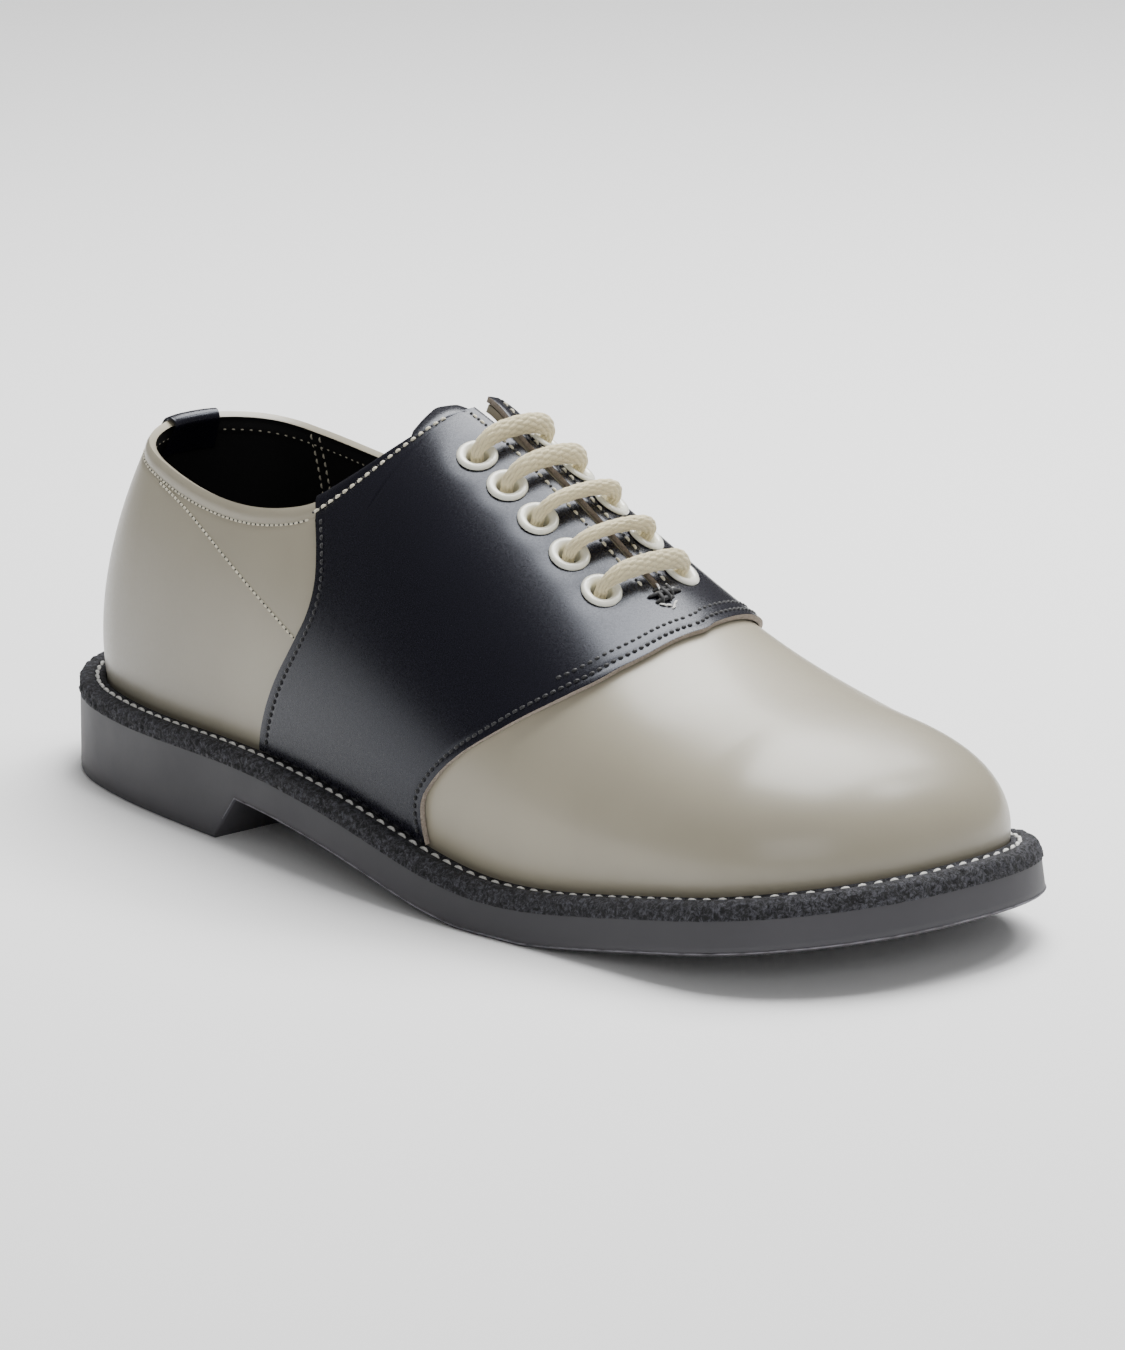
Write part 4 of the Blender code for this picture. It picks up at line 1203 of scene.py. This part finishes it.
class SHOE_OT_parting_line(bpy.types.Operator):
    """Leaves the mould's thin parting line along the sole's lower edge"""
    bl_idname = "shoe.parting_line"
    bl_label = "Parting line"

    def execute(self, context):
        start = float(turn_at(PARTING_START, 1, 0.0))
        stop = float(turn_at(PARTING_START, -1, 0.0))
        flare = sole_flare(EDGE[:, 0])

        def form(u, v):
            turn = start + (stop - start) * u[0]
            edge_along, _ = outline(turn)
            rows = []
            for share in v[:, 0]:
                angle = 2 * math.pi * share
                along, across = outline(turn, flare + PARTING_RADIUS * math.cos(angle))
                height = sole_floor(edge_along) + SOLE_BEVEL + PARTING_RADIUS * math.sin(angle)
                rows.append(np.stack([along, across, height], axis=-1))
            return place(np.stack(rows))

        piece = lasted_sheet("sole_parting_line", 700, 6, form)
        in_edit(piece, merge, face_out)
        smooth(piece, 70)
        dress(piece, (rubber_flash(),))
        return {"FINISHED"}


def set_sheet(piece, form):
    """Moves the selected corners of an extruded sheet to where form puts them"""
    mesh = piece.data
    points = corners(piece)
    chosen = np.empty(len(points), dtype=bool)
    mesh.vertices.foreach_get("select", chosen)
    cells = np.empty((2, len(points)), dtype=np.int32)
    mesh.attributes["column"].data.foreach_get("value", cells[0])
    mesh.attributes["row"].data.foreach_get("value", cells[1])
    where = form(np.linspace(0, 1, SOLE_COLUMNS + 1)[None, :],
                 np.linspace(0, 1, SOLE_ACROSS + 1)[:, None])
    points[chosen] = where[cells[1][chosen], cells[0][chosen]]
    move_corners(piece, points)


# The welt's section once round: reach from its outer edge and drop from its upper face
WeltRow = namedtuple("WeltRow", "reach drop rough flare")
WELT_SECTION = [WeltRow(*row) for row in (
    (-6.7, -0.30, 0.0, 0.0), (-6.2, -0.05, 0.1, 0.0), (-5.6, 0.00, 0.2, 0.0),
    (-5.2, -0.35, 0.1, 0.0), (-4.8, -0.60, 0.1, 0.0), (-4.3, -0.60, 0.1, 0.0),
    (-3.9, -0.35, 0.1, 0.0), (-3.4, 0.10, 0.3, 0.0), (-2.6, 0.22, 0.6, 0.0),
    (-1.7, 0.15, 0.8, 0.0), (-0.9, -0.05, 1.0, 0.0), (-0.35, -0.45, 1.0, 0.0),
    (0.0, -1.00, 1.0, 0.1), (0.1, -1.70, 1.0, 0.2), (0.15, -2.40, 1.0, 0.3),
    (0.2, -3.10, 1.0, 0.4), (0.2, -3.75, 0.9, 0.5), (0.15, -4.25, 0.8, 0.55),
    (-0.6, -4.35, 0.0, 0.4), (-1.2, -3.12, 0.0, 0.0), (-6.7, -3.12, 0.0, 0.0),
    (-6.7, -1.50, 0.0, 0.0), (-6.7, -0.30, 0.0, 0.0))]
WELT_COLUMNS = 960
WELT_ROUGHNESS = 0.55 * MM
WELT_CLUMP = 1.3 * MM


def welt_form(u, v):
    """The welt strip round the foot, its trimmed side torn into small clumps"""
    rows = []
    for section in WELT_SECTION:
        edge_along, _ = outline(u[0])
        reach = section.reach * MM + section.flare * sole_flare(EDGE[:, 0])
        along, across = outline(u[0], reach)
        rows.append(np.stack([along, across, welt_height(edge_along) + section.drop * MM], axis=-1))
    points = place(np.stack(rows))
    outward = place(np.stack([*outline(u[0], 1.0), 0 * u[0]], axis=-1))
    outward = outward - place(np.stack([*outline(u[0], 0.0), 0 * u[0]], axis=-1))
    for j, section in enumerate(WELT_SECTION):
        if not section.rough:
            continue
        for i in range(points.shape[1]):
            spot = Vector(points[j, i]) / WELT_CLUMP
            torn = noise.noise(spot) + 0.5 * noise.noise(spot * 2.3)
            points[j, i] += outward[i] * torn * WELT_ROUGHNESS * section.rough
            points[j, i, 2] += 0.6 * torn * WELT_ROUGHNESS * section.rough
    points[:, -1] = points[:, 0]
    return points


class SHOE_OT_welt(bpy.types.Operator):
    """Wraps the welt round the foot of the upper"""
    bl_idname = "shoe.welt"
    bl_label = "Welt"

    def execute(self, context):
        piece = lasted_sheet("welt_strip", WELT_COLUMNS, len(WELT_SECTION) - 1, welt_form)
        in_edit(piece, merge, face_out)
        smooth(piece, 60)
        dress(piece, (welt_leather(),), ["welt"])
        return {"FINISHED"}


INSOLE_CUP = 2.2 * MM


class SHOE_OT_insole(bpy.types.Operator):
    """Lays the insole and its sock, a little cupped at the edge"""
    bl_idname = "shoe.insole"
    bl_label = "Insole"

    def execute(self, context):
        flat = sole_sheet(-INSOLE_INSET, lambda along: welt_height(along) - 0.1 * MM)

        def form(u, v):
            points = flat(u, 1 - v)
            near_edge = np.abs(2 * v - 1) ** 8 + 0 * u
            points[..., 2] += INSOLE_CUP * near_edge
            return points

        piece = lasted_sheet("insole_sock", 160, 36, form)
        in_edit(piece, merge)
        modify(piece, "SOLIDIFY", thickness=sizes().insole_wall, offset=-1.0)
        smooth(piece, 50)
        dress(piece, (lining_leather(),), ["insole"])
        return {"FINISHED"}


# An eyelet's section: radius and height over the last's surface
RingRow = namedtuple("RingRow", "radius height")
EYELET_SECTION = [RingRow(*row) for row in (
    (2.75, -2.3), (3.05, -2.3), (3.10, 1.50), (5.10, 1.58), (5.30, 1.80), (5.24, 2.15),
    (4.92, 2.50), (4.45, 2.66), (3.90, 2.66), (3.38, 2.45), (3.00, 2.05), (2.80, 1.50))]
EYELET_SPOKES = 56


class SHOE_OT_eyelets(bpy.types.Operator):
    """Spins one eyelet and sets a copy in each of the ten holes"""
    bl_idname = "shoe.eyelets"
    bl_label = "Eyelets"

    def execute(self, context):
        deselect()
        bpy.ops.mesh.primitive_circle_add(vertices=len(EYELET_SECTION), radius=2.7 * MM)
        ring = named(bpy.context.object, "eyelet_pattern")
        for vert, row in zip(ring.data.vertices, EYELET_SECTION):
            vert.co = (row.radius * MM, 0.0, row.height * MM)
        in_edit(ring, lambda: bpy.ops.mesh.spin(
            steps=EYELET_SPOKES, angle=2 * math.pi, center=(0, 0, 0), axis=(0, 0, 1)),
            lambda: bpy.ops.mesh.select_all(action="SELECT"), merge, face_out)
        for side, pair, centre, axis in eyelet_seats():
            word = "lateral" if side > 0 else "medial"
            copy = ring.copy()
            copy.data = ring.data.copy()
            bpy.context.collection.objects.link(copy)
            named(copy, "eyelet_ring_%s_%d" % (word, pair + 1))
            middle = Vector(place(centre))
            up = (Vector(place(centre + axis)) - middle).normalized()
            turn = Vector((0, 0, 1)).rotation_difference(up).to_matrix().to_4x4()
            turn.translation = middle
            copy.data.transform(turn)
            smooth(copy, 55)
            dress(copy, (eyelet_enamel(),), ["eyelet_%s_%d" % (word, pair + 1)])
        bpy.data.objects.remove(ring)
        return {"FINISHED"}


class Lacing:
    """The lace's way, as knots of (point, half width, half thickness), as in its solid"""

    def __init__(self):
        self.knots = []

    def add(self, pair, side, climb, lift, half_width, half_thick, shift=0.0):
        """A knot beside a pair, at a height over the last, moved up the wall by shift"""
        turn = turn_at(EYELET_FIRST + pair * EYELET_STEP, side)
        step = last_point(turn, climb) - last_point(turn, climb - 0.01)
        climb = climb + shift * 0.01 / np.linalg.norm(step)
        point = over_last(turn, climb, lift)
        self.knots.append([*point, half_width, half_thick])

    def through(self, side, pair, upwards):
        """Through an eyelet, from the inside out or back in"""
        for lift in LACE_HOLE_LIFTS if upwards else LACE_HOLE_LIFTS[::-1]:
            self.add(pair, side, EYELET_CLIMBS[side], lift, LACE_HOLE_HALF, LACE_HOLE_HALF)

    def bar(self, side, pair):
        """An arched bar from one side over the slit to the other"""
        for half, shares in ((side, (0.30, 0.75)), (-side, (0.75, 0.30))):
            for share in shares:
                climb = EYELET_CLIMBS[half] + (1 - EYELET_CLIMBS[half]) * share
                self.add(pair, half, climb, LACE_ARCH, LACE_BAR_HALF_WIDTH,
                         LACE_BAR_HALF_THICK)

    def run(self, side, start, end, shift=0.0):
        """A hidden run under the facing, from one pair to another"""
        shares = (0.35, 0.65) if abs(end - start) == 1 else (0.2, 0.5, 0.8)
        for share in shares:
            self.hidden(side, start + share * (end - start), shift)

    def hidden(self, side, pair, shift=0.0):
        self.add(pair, side, EYELET_CLIMBS[side], -LACE_RUN_DEPTH, LACE_RUN_HALF_WIDTH,
                 LACE_RUN_HALF_THICK, shift)


def lace_route():
    """Points and half sizes of the lace on one smooth curve, straight bars over the slit"""
    way = Lacing()
    side = 1
    way.hidden(side, 0.55)
    for pair, onward, shift in ((1, 3, -1), (3, 4, 0), (4, 2, 1), (2, 0, 1), (0, None, 0)):
        way.through(side, pair, True)
        way.bar(side, pair)
        side = -side
        way.through(side, pair, False)
        if onward is not None:
            way.run(side, pair, onward, shift * LACE_SIDESTEP)
    way.hidden(side, 0.45)
    rows = np.array(way.knots)
    for _ in range(LACE_CORNER_CUTS):
        near = 0.75 * rows[:-1] + 0.25 * rows[1:]
        far = 0.25 * rows[:-1] + 0.75 * rows[1:]
        middle = np.empty((2 * len(near), rows.shape[1]))
        middle[0::2] = near
        middle[1::2] = far
        rows = np.vstack([rows[:1], middle, rows[-1:]])
    return rows


BRAID_SIDES = 60
BRAID_STEP = 0.30 * MM
BRAID_STRANDS = 10
BRAID_RELIEF = 0.44 * MM


def braid_form(heights):
    """The lace's tube, raised over every strand that lies on top; heights gets the relief"""
    route = lace_route()
    walked = walk(route[:, :3])

    def form(u, v):
        at = v[:, 0] * walked[-1]
        rows = read_row(at, walked, route)
        points = rows[:, :3]
        tangents = np.gradient(points, axis=0)
        tangents /= np.linalg.norm(tangents, axis=1)[:, None]
        wide = np.empty_like(points)
        axis = np.cross(tangents[0], (0.0, 0.0, 1.0))
        for i, tangent in enumerate(tangents):
            axis = axis - tangent * np.dot(axis, tangent)
            axis /= np.linalg.norm(axis)
            wide[i] = axis
        thick = np.cross(tangents, wide)
        angle = 2 * math.pi * u
        one = BRAID_STRANDS * u + at[:, None] / sizes().braid_pitch
        two = BRAID_STRANDS * u - at[:, None] / sizes().braid_pitch
        over = np.mod(np.floor(one) + np.floor(two), 2) < 1
        wide_way = np.abs(np.sin(math.pi * np.where(over, one, two)))
        long_way = np.abs(np.sin(math.pi * np.where(over, two, one)))
        dome = wide_way ** 0.7 * long_way ** 0.25
        heights.append(dome)
        relief = BRAID_RELIEF * (dome - 0.75)
        ends = np.ones_like(at)
        ends[0] = ends[-1] = 0.0
        half_wide = (rows[:, 3, None] + relief) * ends[:, None]
        half_thick = (rows[:, 4, None] + relief) * ends[:, None]
        ring = (np.cos(angle)[..., None] * half_wide[..., None] * wide[:, None, :]
                + np.sin(angle)[..., None] * half_thick[..., None] * thick[:, None, :])
        return place(points[:, None, :] + ring)
    return form, int(round(walked[-1] / BRAID_STEP))


class SHOE_OT_lace(bpy.types.Operator):
    """Braids the lace through the eyelets"""
    bl_idname = "shoe.lace"
    bl_label = "Lace"

    def execute(self, context):
        heights = []
        form, rows = braid_form(heights)
        piece = lasted_sheet("lace_braid", BRAID_SIDES, rows, form)
        cells = grid_shares(piece, BRAID_SIDES, rows)
        made = piece.data.attributes.new("strand_height", "FLOAT", "POINT")
        made.data.foreach_set("value", heights[0][cells[:, 1], cells[:, 0]].astype(np.float32))
        in_edit(piece, merge, face_out)
        smooth(piece, 75)
        dress(piece, (lace_cotton(),), ["lace"])
        return {"FINISHED"}


def stitch_pattern(length, thick):
    """One stitch lying along X: a grain drawn tight, its two ends sunk into the leather"""
    deselect()
    bpy.ops.mesh.primitive_uv_sphere_add(segments=8, ring_count=6, radius=0.5,
                                         rotation=(0, math.pi / 2, 0))
    grain = named(bpy.context.object, "stitch_pattern")
    bpy.ops.object.transform_apply(location=False, rotation=True, scale=False)
    in_edit(grain, lambda: bpy.ops.transform.resize(value=(length, thick, 0.8 * thick)))
    for vert in grain.data.vertices:
        share = abs(2 * vert.co.x / length)
        vert.co.z += 0.22 * thick - 0.75 * thick * share ** 3
    points = np.array([vert.co for vert in grain.data.vertices])
    faces = [list(face.vertices) for face in grain.data.polygons]
    bpy.data.objects.remove(grain)
    return points, faces


def sew(name, lines, pitch, length, thick, look, slot, slant=0.0, start=0.5):
    """Rows of stitches, joined: lines holds (points, outward directions) of each row

    A row may hold a third value, by which its own stitches are drawn longer.
    """
    pattern, faces = stitch_pattern(length, thick)
    places = []
    for points, outward, *longer in lines:
        stretch = longer[0] if longer else 1.0
        walked = walk(points)
        count = max(int(walked[-1] / pitch), 1)
        at = (np.arange(count) + start) * walked[-1] / count
        middle = read_row(at, walked, points)
        ahead = read_row(at + 0.3 * MM, walked, points)
        up = read_row(at, walked, outward)
        up /= np.linalg.norm(up, axis=1)[:, None]
        forward = ahead - middle
        forward -= up * np.sum(forward * up, axis=1)[:, None]
        forward /= np.linalg.norm(forward, axis=1)[:, None] + 1e-12
        beside = np.cross(up, forward)
        forward, beside = (math.cos(slant) * forward + math.sin(slant) * beside,
                           math.cos(slant) * beside - math.sin(slant) * forward)
        places += list(zip(middle, forward * stretch, beside, up))
    corners = [pattern @ np.array([forward, beside, up]) + middle
               for middle, forward, beside, up in places]
    count = len(pattern)
    joined = [[index + count * n for index in face]
              for n in range(len(places)) for face in faces]
    mesh = bpy.data.meshes.new(name)
    mesh.from_pydata(np.concatenate(corners).tolist(), [], joined)
    mesh.shade_smooth()
    piece = bpy.data.objects.new(name, mesh)
    bpy.context.collection.objects.link(piece)
    in_edit(piece, face_out)
    return dress(piece, (look,))


def on_last(turn, climb, lift):
    """A row of points of the frame over the last, with their outward directions"""
    turn, climb = np.broadcast_arrays(turn, climb)
    bare = last_point(turn, climb)
    outward = last_normal(turn, climb)
    lift = (lift + corner_curl(turn, bare))[..., None]
    lifted = place(bare + lift * outward)
    return lifted, lifted - place(bare + (lift - MM) * outward)


def below_topline(turn, depth):
    """The climb at a depth below the topline"""
    climbs = []
    for one in np.atleast_1d(turn):
        reach = float(reach_at(one))
        rib = np.linspace(reach - 0.35, reach, 60)
        points = last_point(one + 0 * rib, rib)
        climbs.append(float(np.interp(depth, walk(points[::-1]), rib[::-1])))
    return np.array(climbs)


def topline_row(start, stop, side, depth, lift, count=160):
    """A row below the topline, from one distance along to another"""
    turn = turn_at(np.linspace(start, stop, count) * MM, side)
    return on_last(turn, below_topline(turn, depth), lift)


def rear_turns(stop, side, count=160):
    """Turns from the back seam to a distance along, on one side"""
    last = float(turn_at(stop * MM, side))
    return np.linspace(0.0 if side > 0 else 1.0, last, count)


def saddle_row(side, inset, front, low, high, lift, count=140):
    """A row inside the saddle's front or rear edge, from one share of the wall to another"""
    rows = np.linspace(low, high, count)
    turn_rear, climb_rear = saddle_place(side, np.zeros(count), rows)
    turn_front, climb_front = saddle_place(side, np.ones(count), rows)
    span = np.linalg.norm(last_point(turn_front, climb_front)
                          - last_point(turn_rear, climb_rear), axis=-1)
    share = inset / span
    turn, climb = saddle_place(side, 1 - share if front else share, rows)
    return on_last(turn, climb, lift)


# The seam that runs down the quarter from the collar to the saddle
QuarterRow = namedtuple("QuarterRow", "along climb")
QUARTER_SEAM = [QuarterRow(*row) for row in (
    (13.0, 0.545), (36.0, 0.457), (61.5, 0.382), (83.6, 0.312), (103.3, 0.261), (121.5, 0.221))]


def quarter_row(side, lift):
    along = np.linspace(QUARTER_SEAM[0].along, QUARTER_SEAM[-1].along, 120)
    climb = spline(column(QUARTER_SEAM, "along"), column(QUARTER_SEAM, "climb"), along)
    turn = turn_at(along * MM, side)
    below = climb < below_topline(turn, sizes().seam_inset + 0.7 * MM)
    return on_last(turn[below], climb[below], lift)


LINING_SEAM = (44.0 * MM, 47.2 * MM)


class SHOE_OT_seams(bpy.types.Operator):
    """Sews the collar, the quarters, the saddle's edges and the facings"""
    bl_idname = "shoe.seams"
    bl_label = "Seams"

    def execute(self, context):
        cream = thread("thread_cream", colours().thread_cream), "oatmeal_cotton"
        greige = thread("thread_greige", [0.5 * c for c in colours().vamp]), "greige_leather"
        black = thread("thread_black", colours().thread_black), "black_leather"
        pitch = sizes().seam_pitch
        skin = 0.02 * MM
        over_saddle = SADDLE_LIFT + sizes().saddle_wall - 0.15 * MM
        inset = sizes().seam_inset
        quarter, collar, lining, back = [], [], [], []
        for side in (1, -1):
            turn = rear_turns(116.5, side)
            quarter.append(on_last(turn, below_topline(turn, inset), skin - 0.3 * MM))
            collar.append(topline_row(119.5, 138.5, side, inset, over_saddle))
            turn = rear_turns(139.0, side)
            row, outward = on_last(turn, below_topline(turn, inset),
                                   -sizes().upper_wall - skin)
            lining.append((row, -outward))
            for along in LINING_SEAM:
                turn = turn_at(along, side)
                top, foot = below_topline(turn, 1.2 * MM)[0], below_topline(turn, 30 * MM)[0]
                climb = np.linspace(top, foot, 60)
                row, outward = on_last(np.full(60, turn), climb, -sizes().upper_wall - skin)
                lining.append((row, -outward))
            climb = np.linspace(0.05, 0.40, 50)
            back.append(on_last(np.full(50, 0.0036 if side > 0 else 0.9964), climb, skin))
        quarter_down = [quarter_row(side, skin) for side in (1, -1)]
        edges = [saddle_row(side, seam, front, low, high, over_saddle)
                 for side in (1, -1)
                 for seam, front, low, high in ((REAR_SEAM, False, 0.03, 0.90),
                                                (FRONT_SEAM, True, 0.03, 0.998),
                                                (SECOND_SEAM, True, 0.72, 0.998))]
        facings = [topline_row(141.0, 201.0, side, FACING_SEAM, over_saddle)
                   for side in (1, -1)]
        fine = 1.9 * MM
        for name, lines, step, length, thick, look, begin in (
                ("stitch_quarter_collar", quarter, fine, 1.5, 0.68, cream, 0.5),
                ("stitch_saddle_collar", collar, pitch, 2.05, 0.92, cream, 0.5),
                ("stitch_quarter_line", quarter_down, fine, 1.5, 0.74, cream, 0.5),
                # the needle-hole rows are dark marks between the stitches: painted shade of the
                # holes
                ("needle_holes", quarter + quarter_down, fine, 0.5, 0.5, black, 0.0),
                ("stitch_lining_collar", lining, pitch, 1.8, 0.6, cream, 0.5),
                ("stitch_back_seam", back, fine, 1.4, 0.4, greige, 0.5),
                ("stitch_saddle_edges", edges, 2.1 * MM, 2.0, 0.92, black, 0.5),
                ("stitch_facings", facings, 2.9 * MM, 2.1, 0.85, cream, 0.5),
                # more needle-hole rows: dark marks between the stitches, painted shade of the holes
                ("needle_holes_facings", facings, 2.9 * MM, 1.0, 0.8, black, 0.0),
                ("needle_holes_collar", collar, pitch, 0.5, 0.7, black, 0.0)):
            sew(name, lines, step, length * MM, thick * MM, *look, start=begin)
        return {"FINISHED"}


class SHOE_OT_welt_seam(bpy.types.Operator):
    """Sews the welt to the sole with heavy white thread"""
    bl_idname = "shoe.welt_seam"
    bl_label = "Welt seam"

    def execute(self, context):
        turn = np.linspace(0, 1, 900)
        along, across = outline(turn, -4.5 * MM)
        edge_along, _ = outline(turn)
        points = np.stack([along, across, welt_height(edge_along) - 0.45 * MM], axis=-1)
        up = np.zeros_like(points)
        up[:, 2] = 1.0
        white = thread("thread_white", colours().thread_white)
        sew("stitch_welt", [(place(points), up)], sizes().welt_pitch, 3.2 * MM, 1.15 * MM,
            white, "oatmeal_cotton", slant=math.radians(7))
        return {"FINISHED"}


# Threads of the bar tack: place on the ridge, turn from straight across, length and height
Tack = namedtuple("Tack", "along across turned longer over")
TACK_BLACK = [Tack(*row) for row in (
    (204.0, -0.2, 0, 2.4, 0.3), (205.6, 1.2, 4, 1.5, 0.1), (202.9, -0.4, -5, 1.3, 0.0),
    (203.6, -1.7, 82, 0.95, 0.5), (204.4, 0.4, 98, 1.1, 0.6), (204.9, 2.4, 72, 0.95, 0.4))]
TACK_WHITE = [Tack(*row) for row in (
    (202.0, -2.4, 30, 1.0, 0.2), (202.3, 0.9, 72, 1.1, 0.9), (203.2, -3.4, 15, 0.8, 0.3),
    (207.0, -0.8, 25, 1.1, 0.0), (207.7, 0.3, 38, 1.0, 0.0), (207.5, 1.8, -20, 0.9, 0.1),
    (206.9, 3.2, -32, 1.1, 0.1), (208.3, 1.0, 12, 0.8, 0.0))]


class SHOE_OT_bar_tack(bpy.types.Operator):
    """Ties off the end of the slit: heavy black thread over fine white"""
    bl_idname = "shoe.bar_tack"
    bl_label = "Bar tack"

    def execute(self, context):
        black = thread("thread_black", colours().thread_black)
        white = thread("thread_white", colours().thread_white)
        lift = SADDLE_LIFT + sizes().saddle_wall
        heavy = [self.laid(tack, lift + 0.3 * MM) for tack in TACK_BLACK]
        sew("bar_tack_black", heavy, 20 * MM, 5.0 * MM, 1.35 * MM, black, "black_leather")
        fine = [self.laid(tack, lift + 0.12 * MM) for tack in TACK_WHITE]
        sew("bar_tack_white", fine, 20 * MM, 2.3 * MM, 0.6 * MM, white, "oatmeal_cotton")
        return {"FINISHED"}

    def laid(self, tack, lift):
        """One thread over the ridge at its place, turned from straight across"""
        steps = np.linspace(-1, 1, 9) * MM
        along = tack.along * MM + steps * math.sin(math.radians(tack.turned))
        offset = tack.across * MM + steps * math.cos(math.radians(tack.turned))
        centre = length_at(LAST, "centre", along)
        ridge = length_at(LAST, "top", along)
        up = ridge_normal(along)
        base = np.stack([along, centre + offset, ridge - 0.012 * offset ** 2 / MM], axis=-1)
        lifted = place(base + (lift + tack.over * MM) * up)
        return lifted, lifted - place(base + (lift + tack.over * MM - MM) * up), tack.longer


# The photo's camera, fitted to the shoe: angles in degrees, lengths in metres
CAMERA_AZIMUTH = -41.714
CAMERA_ELEVATION = 15.036
CAMERA_DISTANCE = 2.3099
CAMERA_AIM_RIGHT = 0.01321
CAMERA_AIM_UP = -0.00319
CAMERA_AIM_HEIGHT = 0.050
CAMERA_LENS = 243.54
CAMERA_SENSOR = 36.0


def area_light(name, at, towards, size, power, tint=(1.0, 1.0, 1.0)):
    """A rectangular soft box, aimed at a point"""
    deselect()
    bpy.ops.object.light_add(type="AREA", location=at)
    lamp = named(bpy.context.object, name)
    lamp.data.shape = "RECTANGLE"
    lamp.data.size, lamp.data.size_y = size
    lamp.data.energy = power
    lamp.data.color = tint
    lamp.rotation_euler = (Vector(towards) - Vector(at)).to_track_quat("-Z", "Y").to_euler()
    return lamp


def studio_paper():
    """White seamless paper, matt"""
    made, tree, shader = new_material("seamless_paper_white", roughness=0.9)
    if tree:
        shader.inputs["Base Color"].default_value = (0.93, 0.93, 0.93, 1.0)
    return made


class SHOE_OT_stage(bpy.types.Operator):
    """Sets up the floor, the lights and the photo's camera"""
    bl_idname = "shoe.stage"
    bl_label = "Stage"

    def execute(self, context):
        deselect()
        bpy.ops.mesh.primitive_plane_add(size=12.0, location=(0, 0, 0))
        floor = named(bpy.context.object, "studio_floor")
        floor.data.materials.append(studio_paper())
        studio = context.scene.shoe_studio
        aim = (0.0, 0.0, 0.05)
        area_light("softbox_overhead", (0.46, 0.18, 1.20), aim, (0.8, 1.0), studio.overhead)
        area_light("softbox_toe", (0.68, -0.36, 1.00), aim, (0.25, 0.25), studio.toe)
        area_light("softbox_fill", (-0.9, -1.3, 0.7), aim, (1.2, 0.8), studio.fill)
        world = bpy.data.worlds.new("studio_air")
        world.use_nodes = True
        back = world.node_tree.nodes["Background"]
        back.inputs["Color"].default_value = (1, 1, 1, 1)
        way = add_node(world.node_tree, "ShaderNodeTexCoord").outputs["Generated"]
        split = add_node(world.node_tree, "ShaderNodeSeparateXYZ", {"Vector": way})
        height = add_node(world.node_tree, "ShaderNodeMapRange",
                          {"Value": split.outputs["Z"], "From Min": 0.05, "From Max": 0.75,
                           "To Min": 0.60 * studio.air, "To Max": 1.0 * studio.air})
        world.node_tree.links.new(height.outputs["Result"], back.inputs["Strength"])
        context.scene.world = world
        self.add_camera(context)
        return {"FINISHED"}

    def add_camera(self, context):
        azimuth = math.radians(CAMERA_AZIMUTH)
        elevation = math.radians(CAMERA_ELEVATION)
        back = Vector((math.sin(azimuth) * math.cos(elevation),
                       -math.cos(azimuth) * math.cos(elevation), math.sin(elevation)))
        right = Vector((math.cos(azimuth), math.sin(azimuth), 0.0))
        up = back.cross(right)
        aim = (Vector((-MIDDLE_X, -MIDDLE_Y, CAMERA_AIM_HEIGHT))
               + right * CAMERA_AIM_RIGHT + up * CAMERA_AIM_UP)
        data = bpy.data.cameras.new("photo_camera")
        camera = bpy.data.objects.new("photo_camera", data)
        context.collection.objects.link(camera)
        camera.location = aim + back * CAMERA_DISTANCE
        camera.rotation_mode = "QUATERNION"
        camera.rotation_quaternion = (-back).to_track_quat("-Z", "Y")
        data.lens = CAMERA_LENS
        data.sensor_width = CAMERA_SENSOR
        data.clip_start = 0.1
        data.clip_end = 50.0
        context.scene.camera = camera


PIECES = (SHOE_OT_outsole, SHOE_OT_parting_line, SHOE_OT_welt, SHOE_OT_insole, SHOE_OT_upper,
          SHOE_OT_saddle, SHOE_OT_tongue, SHOE_OT_heel_tab, SHOE_OT_eyelets, SHOE_OT_lace,
          SHOE_OT_seams, SHOE_OT_welt_seam, SHOE_OT_bar_tack, SHOE_OT_stage)
SETTINGS = {"shoe_sizes": ShoeSizes, "shoe_colours": ShoeColours, "shoe_studio": ShoeStudio}


class SHOE_PT_panel(bpy.types.Panel):
    """The shoe's pieces in the order of making, and their sizes and colours"""
    bl_idname = "SHOE_PT_panel"
    bl_label = "Saddle shoe"
    bl_space_type = "VIEW_3D"
    bl_region_type = "UI"
    bl_category = "Shoe"

    def draw(self, context):
        for kind in PIECES:
            self.layout.operator(kind.bl_idname)
        for name in SETTINGS:
            group = getattr(context.scene, name)
            for prop in group.bl_rna.properties:
                if not prop.is_readonly and prop.identifier != "name":
                    self.layout.prop(group, prop.identifier)


def register():
    for kind in (*SETTINGS.values(), *PIECES, SHOE_PT_panel):
        bpy.utils.register_class(kind)
    for name, kind in SETTINGS.items():
        setattr(bpy.types.Scene, name, PointerProperty(type=kind))


def unregister():
    for name in SETTINGS:
        delattr(bpy.types.Scene, name)
    for kind in reversed((*SETTINGS.values(), *PIECES, SHOE_PT_panel)):
        bpy.utils.unregister_class(kind)


def main():
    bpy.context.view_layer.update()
    register()
    for kind in PIECES:
        group, name = kind.bl_idname.split(".")
        getattr(getattr(bpy.ops, group), name)()


if __name__ == "__main__":
    main()
